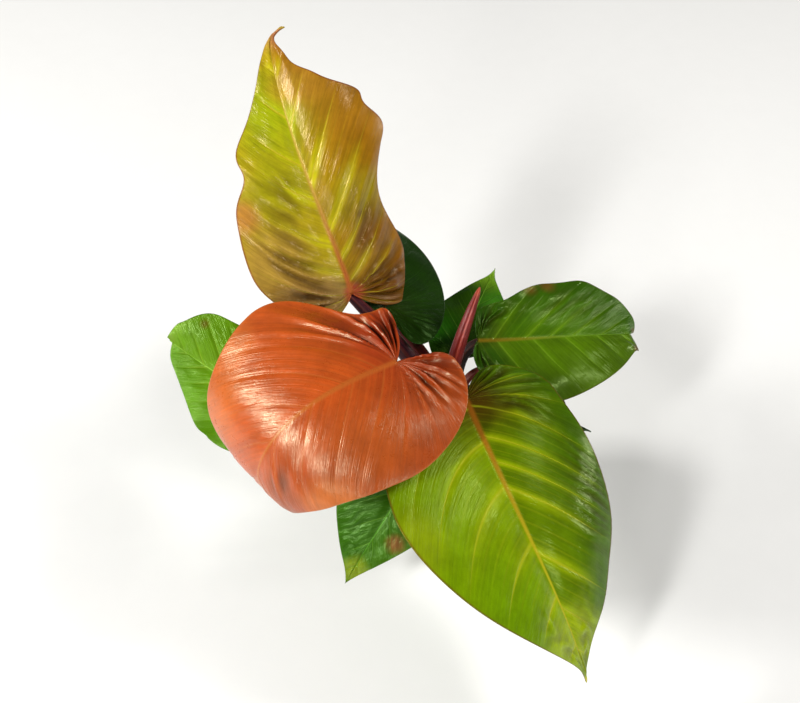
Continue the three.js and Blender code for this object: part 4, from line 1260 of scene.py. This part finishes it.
def scatter_tree():
    """Geometry Nodes that strew lumps of one kind over a ground."""
    tree, names, given = node_group("Strewn lumps", STREWN_INPUTS)
    seed, tilt = given["Seed"], given["Tilt"]
    points = wire("GeometryNodeDistributePointsOnFaces", {
        "Mesh": given["Ground"], "Density": given["Density"], "Seed": seed})
    lump = wire("GeometryNodeMeshIcoSphere", {"Radius": given["Radius"], "Subdivisions": given["Fineness"]})
    lump = wire("GeometryNodeTransform", {"Geometry": lump, "Scale": given["Shape"]})
    lean = tilt * -1.0
    turn = wire("FunctionNodeRandomValue", {
        "Min": vector(lean, lean, 0.0), "Max": vector(tilt, tilt, 2 * math.pi), "Seed": seed},
        data_type="FLOAT_VECTOR")
    lowest, highest, result = 2, 3, 1
    size = wire("FunctionNodeRandomValue", {
        lowest: given["Smallest"], highest: given["Largest"], "Seed": seed}, result, data_type="FLOAT")
    strewn = wire("GeometryNodeInstanceOnPoints", {
        "Points": points, "Instance": lump, "Rotation": turn, "Scale": size})
    real = wire("GeometryNodeRealizeInstances", {"Geometry": strewn})

    place = wire("GeometryNodeInputPosition", {}, 0, tree)
    lumpy = wire("ShaderNodeTexNoise", {"Vector": place, "Scale": 700.0, "Detail": 1.0}, 1)
    push = wire("ShaderNodeVectorMath", {0: lumpy, 1: (0.5, 0.5, 0.5)}, operation="SUBTRACT")
    amount = given["Roughness"] * (given["Radius"] * 2.0)
    push = wire("ShaderNodeVectorMath", {0: push, "Scale": amount}, operation="SCALE")
    show(wire("GeometryNodeSetPosition", {"Geometry": real, "Offset": push}), given["Material"])
    return tree, names


def grain_material(name, dark, light, scale, roughness):
    """A dull speckled skin for what lies on the soil."""
    material, tree = new_material(name)
    place = object_point(tree)
    patch, grain = noise(place, scale, 3, 0.6), noise(place, scale * 5, 2, 0.6)
    shade = layered(
        srgb(*dark), (smooth(patch, 0.35, 0.65), srgb(*light)),
        (smooth(grain, 0.5, 0.7, 0.0, 0.4), srgb(*dark)))
    return skin(material, shade, grain * 0.2 + (roughness - 0.1), bump(grain, 0.0004, 0.7))


def soil_ground(name):
    """The visible ring of soil as a mesh for strewing things on, and its area in square metres."""
    rings, sides, inset = 24, 96, 1.6
    outer, inner = soil_radius(SOIL_TOP - 2) - inset, SOIL_HOLE["radius"] + 0.4
    vertices, faces = [], []
    for i, radius in enumerate(np.linspace(inner, outer, rings)):
        for j, angle in enumerate(2 * np.pi * np.arange(sides) / sides):
            x, y = radius * math.cos(angle), radius * math.sin(angle)
            mound = 2 * ease(outer + inset - radius, 0, outer + inset - SOIL_HOLE["radius"])
            vertices.append((x * MM, y * MM, (SOIL_TOP + mound + 0.9 * float(soil_height(x, y))) * MM))
            if i:
                k = (j + 1) % sides
                faces.append([(i - 1) * sides + j, i * sides + j, i * sides + k, (i - 1) * sides + k])
    mesh = bpy.data.meshes.new(name)
    mesh.from_pydata(vertices, [], faces)
    return mesh, math.pi * (outer**2 - inner**2) * MM * MM


# What lies on the soil: sizes in mm, the shape of a lump along x, y and z, how far it may tilt in radians,
# and its skin as dark and light colour, fineness and roughness.
STREWN = {
    "soil_crumbs": {
        "count": "crumbs", "radius": 1.5, "smallest": 0.35, "largest": 1.3, "shape": (1, 0.8, 0.7),
        "tilt": 3.0, "roughness": 1.1, "seed": 4, "fineness": 1,
        "skin": ((30, 20, 14), (74, 54, 38), 500, 0.92),
    },
    "soil_bark": {
        "count": "bark", "radius": 3.4, "smallest": 0.5, "largest": 1.25, "shape": (1.2, 0.7, 0.28),
        "tilt": 0.5, "roughness": 0.5, "seed": 11, "fineness": 2,
        "skin": ((66, 40, 24), (128, 86, 54), 300, 0.85),
    },
    "soil_perlite": {
        "count": "perlite", "radius": 1.3, "smallest": 0.5, "largest": 1.2, "shape": (1, 0.9, 0.8),
        "tilt": 3.0, "roughness": 0.8, "seed": 23, "fineness": 2,
        "skin": ((196, 190, 178), (236, 232, 224), 600, 0.9),
    },
}


def build_strewn(settings):
    """The crumbs, the chips of bark and the perlite."""
    tree, names = scatter_tree()
    pieces = []
    for name, kind in STREWN.items():
        ground, area = soil_ground(name)
        values = {key: kind[key.lower()] for key in names if key.lower() in kind}
        values["Radius"] *= MM
        values["Density"] = getattr(settings, kind["count"]) / area
        values["Material"] = grain_material(name, *kind["skin"])
        pieces.append(grow(name, tree, names, values, ground))
    return pieces


def stalk_values(path, radii, material, ridge, **others):
    """What a modifier with the stalk tree is given for a path and radii in mm."""
    values = {
        "Start Radius": radii[0] * MM, "End Radius": radii[1] * MM, "Flattening": PETIOLE_FLATTENING,
        "Ridge": ridge, "Flare": 0.12, "Scar Depth": 0.0, "Scars": 0.0, "Roundness": 0.0, "Belly": 0.0,
        "Steps": 110, "Sides": 32, "Material": material,
    }
    for key, point in zip(("Start", "Start Handle", "End Handle", "End"), path):
        values[key] = tuple(float(c) * MM for c in point)
    return {**values, **others}


def build_petioles(settings):
    """A swept petiole from the stem to each leaf, with the leaf's name."""
    tree, names = stalk_tree("Petiole", "Z_UP")
    pieces = []
    for name, leaf in LEAVES.items():
        material = stalk_material(f"stalk_{name}", *STALKS[name], settings.roughness)
        values = stalk_values(
            petiole_path(leaf), leaf["petiole"]["radius"], material, settings.ridge,
            Belly=BELLIES.get(name, 0.08))
        pieces.append((name, grow(f"stalk_{name}", tree, names, values)))
    return pieces


def build_stem():
    """The short stem, narrowed a little at each leaf scar and rounded at its top."""
    tree, names = stalk_tree("Stem", "MINIMUM_TWIST")
    radius = STEM_RADIUS - 0.1
    values = stalk_values(
        STEM_PATH, (radius, radius), stem_material(), 0.0, Flattening=1.0, Flare=0.0, Roundness=0.5,
        Scars=STEM_SCARS, Steps=220, Sides=64)
    values["Scar Depth"] = 0.07
    return grow("scarred_stem", tree, names, values)


def stem_material():
    """Green-brown bark with pale leaf scars and papery streaks."""
    material, tree = new_material("stem")
    ring = parts(attribute(tree, "ring", "Vector"))
    scar = smooth(maths("PINGPONG", ring[2] * STEM_SCARS, 0.5), 0.1, 0.03)
    fibres = stretched_noise(ring, (6.0, 6.0, 9.0), 4, 0.65)
    patch = noise(object_point(tree), 120, 4, 0.6)
    shade = layered(
        srgb(66, 44, 26), (smooth(patch, 0.36, 0.64), srgb(92, 86, 40)),
        (smooth(fibres, 0.52, 0.7, 0.0, 0.6), srgb(132, 98, 62)), (scar * 0.7, srgb(150, 122, 84)))
    return skin(material, shade, patch * 0.25 + 0.55, bump(fibres + patch, 0.0012, 0.7))


def build_sheath(settings):
    """The red sheath of the next leaf: a flat spear with a keel on each side of an open seam."""
    foot = np.array(STEM_PATH[3]) - bezier_slope(STEM_PATH, 1.0) * 3
    path = [foot, *SHEATH_PATH]
    steps, sides, crowding = 110, 48, 1.6
    across = np.cross(bezier_slope(path, 0.0), (0, 0, 1))
    vertices, marks = [], []
    for i in range(steps):
        # The rings crowd together in the half that ends in the tip.
        t = i / steps * (1 - 0.5**crowding) / 0.5
        if i > steps * 0.5:
            t = 1 - (1 - i / steps) ** crowding
        centre, along = bezier(path, t), bezier_slope(path, t)
        across = across - along * (across @ along)
        across /= np.linalg.norm(across)
        up = np.cross(across, along) * SHEATH["flat"]
        radius = np.interp(t, np.linspace(0, 1, len(SHEATH_RADII)), SHEATH_RADII)
        radius *= math.sqrt(max(0.0, 1 - ease(t, 0.93, 1.0) ** 2))
        for j in range(sides):
            angle = 2 * math.pi * j / sides
            x, y = math.cos(angle), math.sin(angle)
            seam = SHEATH["seam"] * math.exp(-((x / SHEATH["width"]) ** 2)) * (y > 0)
            beside = (abs(x) - SHEATH["keel_at"]) / SHEATH["width"]
            keel = SHEATH["keel"] * math.exp(-(beside**2)) * (y > 0)
            vertices.append(centre + radius * (across * x + up * y * (1 + keel - seam)))
            marks.append((x, y, t))
    vertices += [foot, bezier(path, 1.0)]
    marks += [(0, 0, 0), (0, 1, 1)]
    faces = []
    for ring in range(0, (steps - 1) * sides, sides):
        for j in range(sides):
            k = (j + 1) % sides
            faces.append([ring + j, ring + k, ring + sides + k, ring + sides + j])
    last = (steps - 1) * sides
    for j in range(sides):
        k = (j + 1) % sides
        faces += [[k, j, last + sides], [last + j, last + k, last + sides + 1]]
    piece = mesh_object("sheath_spear", np.array(vertices) * MM, faces)
    face_outward(piece.data)
    layer = piece.data.attributes.new("ring", "FLOAT_VECTOR", "POINT")
    layer.data.foreach_set("vector", np.array(marks, np.float32).ravel())
    piece.data.materials.append(sheath_material(settings))
    return piece


def sheath_material(settings):
    """Red skin, darker at its edges, with a pale stripe and lines along it and a pale tip."""
    material, tree = new_material("sheath")
    ring = parts(attribute(tree, "ring", "Vector"))
    x, _, t = ring
    lines = stretched_noise(ring, (14.0, 8.0, 3.0), 4, 0.6)
    patch = noise(object_point(tree), 140, 3, 0.6)
    edges, stripe = smooth(abs(x), 0.55, 0.98, 0.0, 0.75), smooth(abs(x - 0.12), 0.22, 0.05, 0.0, 0.6)
    tip, foot = smooth(t, 0.86, 1.0, 0.0, 0.6), smooth(t, 0.3, 0.0, 0.0, 0.7)
    shade = layered(
        solid(settings.sheath_color),
        (smooth(patch, 0.35, 0.7, 0.0, 0.6), solid(settings.sheath_color, 0.35)),
        (edges, srgb(84, 12, 16)), (stripe, srgb(170, 66, 46)),
        (smooth(lines, 0.52, 0.66, 0.0, 0.45), srgb(150, 50, 36)), (tip, srgb(186, 86, 56)),
        (foot, srgb(96, 70, 34)))
    return skin(
        material, shade, patch * 0.2 + (settings.roughness - 0.06), bump(lines + patch, 0.0004, 0.6),
        Specular_IOR_Level=0.3, Coat_Weight=0.05, Coat_Roughness=0.2)


FLOOR_REACH = 9
SKY_COLOR = (0.96, 0.98, 1, 1)
SKY_STRENGTH = 0.1
CAMERA_PLACE = (-0.04866, -0.5475, 0.8762)

# Soft boxes: where each stands, its width and height, what it points at, its power in watts and its colour.
# A fill gives light but isn't mirrored in the leaves.
LIGHTS = {
    "left_window": ((-2.1, -0.12, 1.5), (0.5, 0.4), (-0.12, -0.08, 0.25), 48, (1, 0.99, 0.96)),
    "front_strip": ((-1.25, -1.45, 1.95), (0.24, 0.6), (-0.1, -0.1, 0.25), 34, (1, 0.99, 0.97)),
    "right_fill": ((1.65, 0.06, 2.3), (0.7, 0.7), (0.05, 0, 0.2), 28, (1, 0.98, 0.95)),
    "right_lamp": ((1.75, -0.12, 2.2), (0.34, 0.34), (0.05, 0, 0.2), 10, (1, 0.98, 0.95)),
    "side_lamp": ((2.7, 0.3, 0.65), (0.3, 0.3), (0.1, -0.05, 0.2), 14, (1, 0.98, 0.95)),
    "front_lamp": ((1.6, -2.0, 1.0), (0.26, 0.22), (-0.05, 0.05, 0.25), 10, (1, 0.98, 0.95)),
    "low_lamp": ((-0.75, -2.3, 1.15), (0.3, 0.3), (-0.1, -0.1, 0.2), 10, (1, 0.99, 0.97)),
}


def build_stage(settings):
    """Pale floor, pale surroundings, soft boxes and the camera."""
    scene = bpy.context.scene
    scene.view_settings.view_transform = "Standard"
    corners = [(x * FLOOR_REACH, y * FLOOR_REACH, 0) for x, y in ((-1, -1), (1, -1), (1, 1), (-1, 1))]
    floor = mesh_object("floor", corners, [[0, 1, 2, 3]])
    material, tree = new_material("floor")
    cloud = noise(object_point(tree), 40, 4, 0.6)
    shade = mix(cloud, solid(settings.floor_color), solid(settings.floor_color, 0.97))
    floor.data.materials.append(skin(material, shade, 0.75))

    for name, (place, (width, height), aim, power, color) in LIGHTS.items():
        light = bpy.data.lights.new(name, "AREA")
        light.shape, light.size, light.size_y = "RECTANGLE", width, height
        light.energy, light.color = power, color
        box = bpy.data.objects.new(name, light)
        box.location = place
        box.rotation_euler = (Vector(aim) - Vector(place)).to_track_quat("-Z", "Y").to_euler()
        box.visible_glossy = not name.endswith("fill")
        scene.collection.objects.link(box)

    world = bpy.data.worlds.new("surroundings")
    world.use_nodes = True
    sky = world.node_tree.nodes["Background"]
    sky.inputs["Color"].default_value = SKY_COLOR
    sky.inputs["Strength"].default_value = SKY_STRENGTH
    scene.world = world

    lens = bpy.data.cameras.new("camera")
    lens.lens, lens.sensor_width, lens.clip_start = settings.lens, 36, 0.01
    camera = bpy.data.objects.new("camera", lens)
    camera.location = CAMERA_PLACE
    camera.rotation_euler = (math.pi / 2 - settings.elevation, 0, 0)
    scene.collection.objects.link(camera)
    scene.camera = camera


class PLANT_OT_pot(bpy.types.Operator):
    """Build the pot with its drain holes"""

    bl_idname = "plant.pot"
    bl_label = "Pot"

    def execute(self, context):
        place_piece(build_pot(context.scene.plant_pot), "pot")
        return {"FINISHED"}


class PLANT_OT_soil(bpy.types.Operator):
    """Fill the pot with soil and strew crumbs, bark and perlite on it"""

    bl_idname = "plant.soil"
    bl_label = "Soil"

    def execute(self, context):
        settings = context.scene.plant_soil
        place_piece(build_soil(settings), "soil")
        for piece in build_strewn(settings):
            place_piece(piece)
        return {"FINISHED"}


class PLANT_OT_stem(bpy.types.Operator):
    """Grow the scarred stem"""

    bl_idname = "plant.stem"
    bl_label = "Stem"

    def execute(self, context):
        place_piece(build_stem(), "stem")
        return {"FINISHED"}


class PLANT_OT_petioles(bpy.types.Operator):
    """Grow a petiole from the stem to every leaf"""

    bl_idname = "plant.petioles"
    bl_label = "Petioles"

    def execute(self, context):
        for name, piece in build_petioles(context.scene.plant_stalks):
            place_piece(piece, f"petiole_{name}")
        return {"FINISHED"}


class PLANT_OT_sheath(bpy.types.Operator):
    """Build the red sheath of the next leaf"""

    bl_idname = "plant.sheath"
    bl_label = "Sheath"

    def execute(self, context):
        place_piece(build_sheath(context.scene.plant_stalks), "sheath")
        return {"FINISHED"}


class PLANT_OT_leaves(bpy.types.Operator):
    """Build the veined blades of all the leaves"""

    bl_idname = "plant.leaves"
    bl_label = "Leaves"

    def execute(self, context):
        for name in LEAVES:
            place_piece(build_blade(name, context.scene.plant_leaves), f"leaf_{name}")
        return {"FINISHED"}


class PLANT_OT_stage(bpy.types.Operator):
    """Set up the floor, the soft boxes and the camera"""

    bl_idname = "plant.stage"
    bl_label = "Stage"

    def execute(self, context):
        build_stage(context.scene.plant_stage)
        return {"FINISHED"}


OPERATORS = (
    PLANT_OT_pot, PLANT_OT_soil, PLANT_OT_stem, PLANT_OT_petioles, PLANT_OT_sheath, PLANT_OT_leaves,
    PLANT_OT_stage,
)
SETTINGS = {
    "plant_pot": PotSettings, "plant_soil": SoilSettings, "plant_stalks": StalkSettings,
    "plant_leaves": LeafSettings, "plant_stage": StageSettings,
}


class PLANT_PT_panel(bpy.types.Panel):
    """Sizes, colours and the steps of the build"""

    bl_idname = "PLANT_PT_panel"
    bl_label = "Potted philodendron"
    bl_space_type = "VIEW_3D"
    bl_region_type = "UI"
    bl_category = "Plant"

    def draw(self, context):
        for key, group in SETTINGS.items():
            box = self.layout.box()
            for name in group.__annotations__:
                box.prop(getattr(context.scene, key), name)
        for operator in OPERATORS:
            self.layout.operator(operator.bl_idname)


def register():
    for group in SETTINGS.values():
        bpy.utils.register_class(group)
    for kind in (*OPERATORS, PLANT_PT_panel):
        bpy.utils.register_class(kind)
    for key, group in SETTINGS.items():
        setattr(bpy.types.Scene, key, bpy.props.PointerProperty(type=group))


def unregister():
    for key in SETTINGS:
        delattr(bpy.types.Scene, key)
    for kind in (PLANT_PT_panel, *reversed(OPERATORS), *SETTINGS.values()):
        bpy.utils.unregister_class(kind)


def main():
    register()
    bpy.ops.plant.pot()
    bpy.ops.plant.soil()
    bpy.ops.plant.stem()
    bpy.ops.plant.petioles()
    bpy.ops.plant.sheath()
    bpy.ops.plant.leaves()
    bpy.ops.plant.stage()


if __name__ == "__main__":
    main()
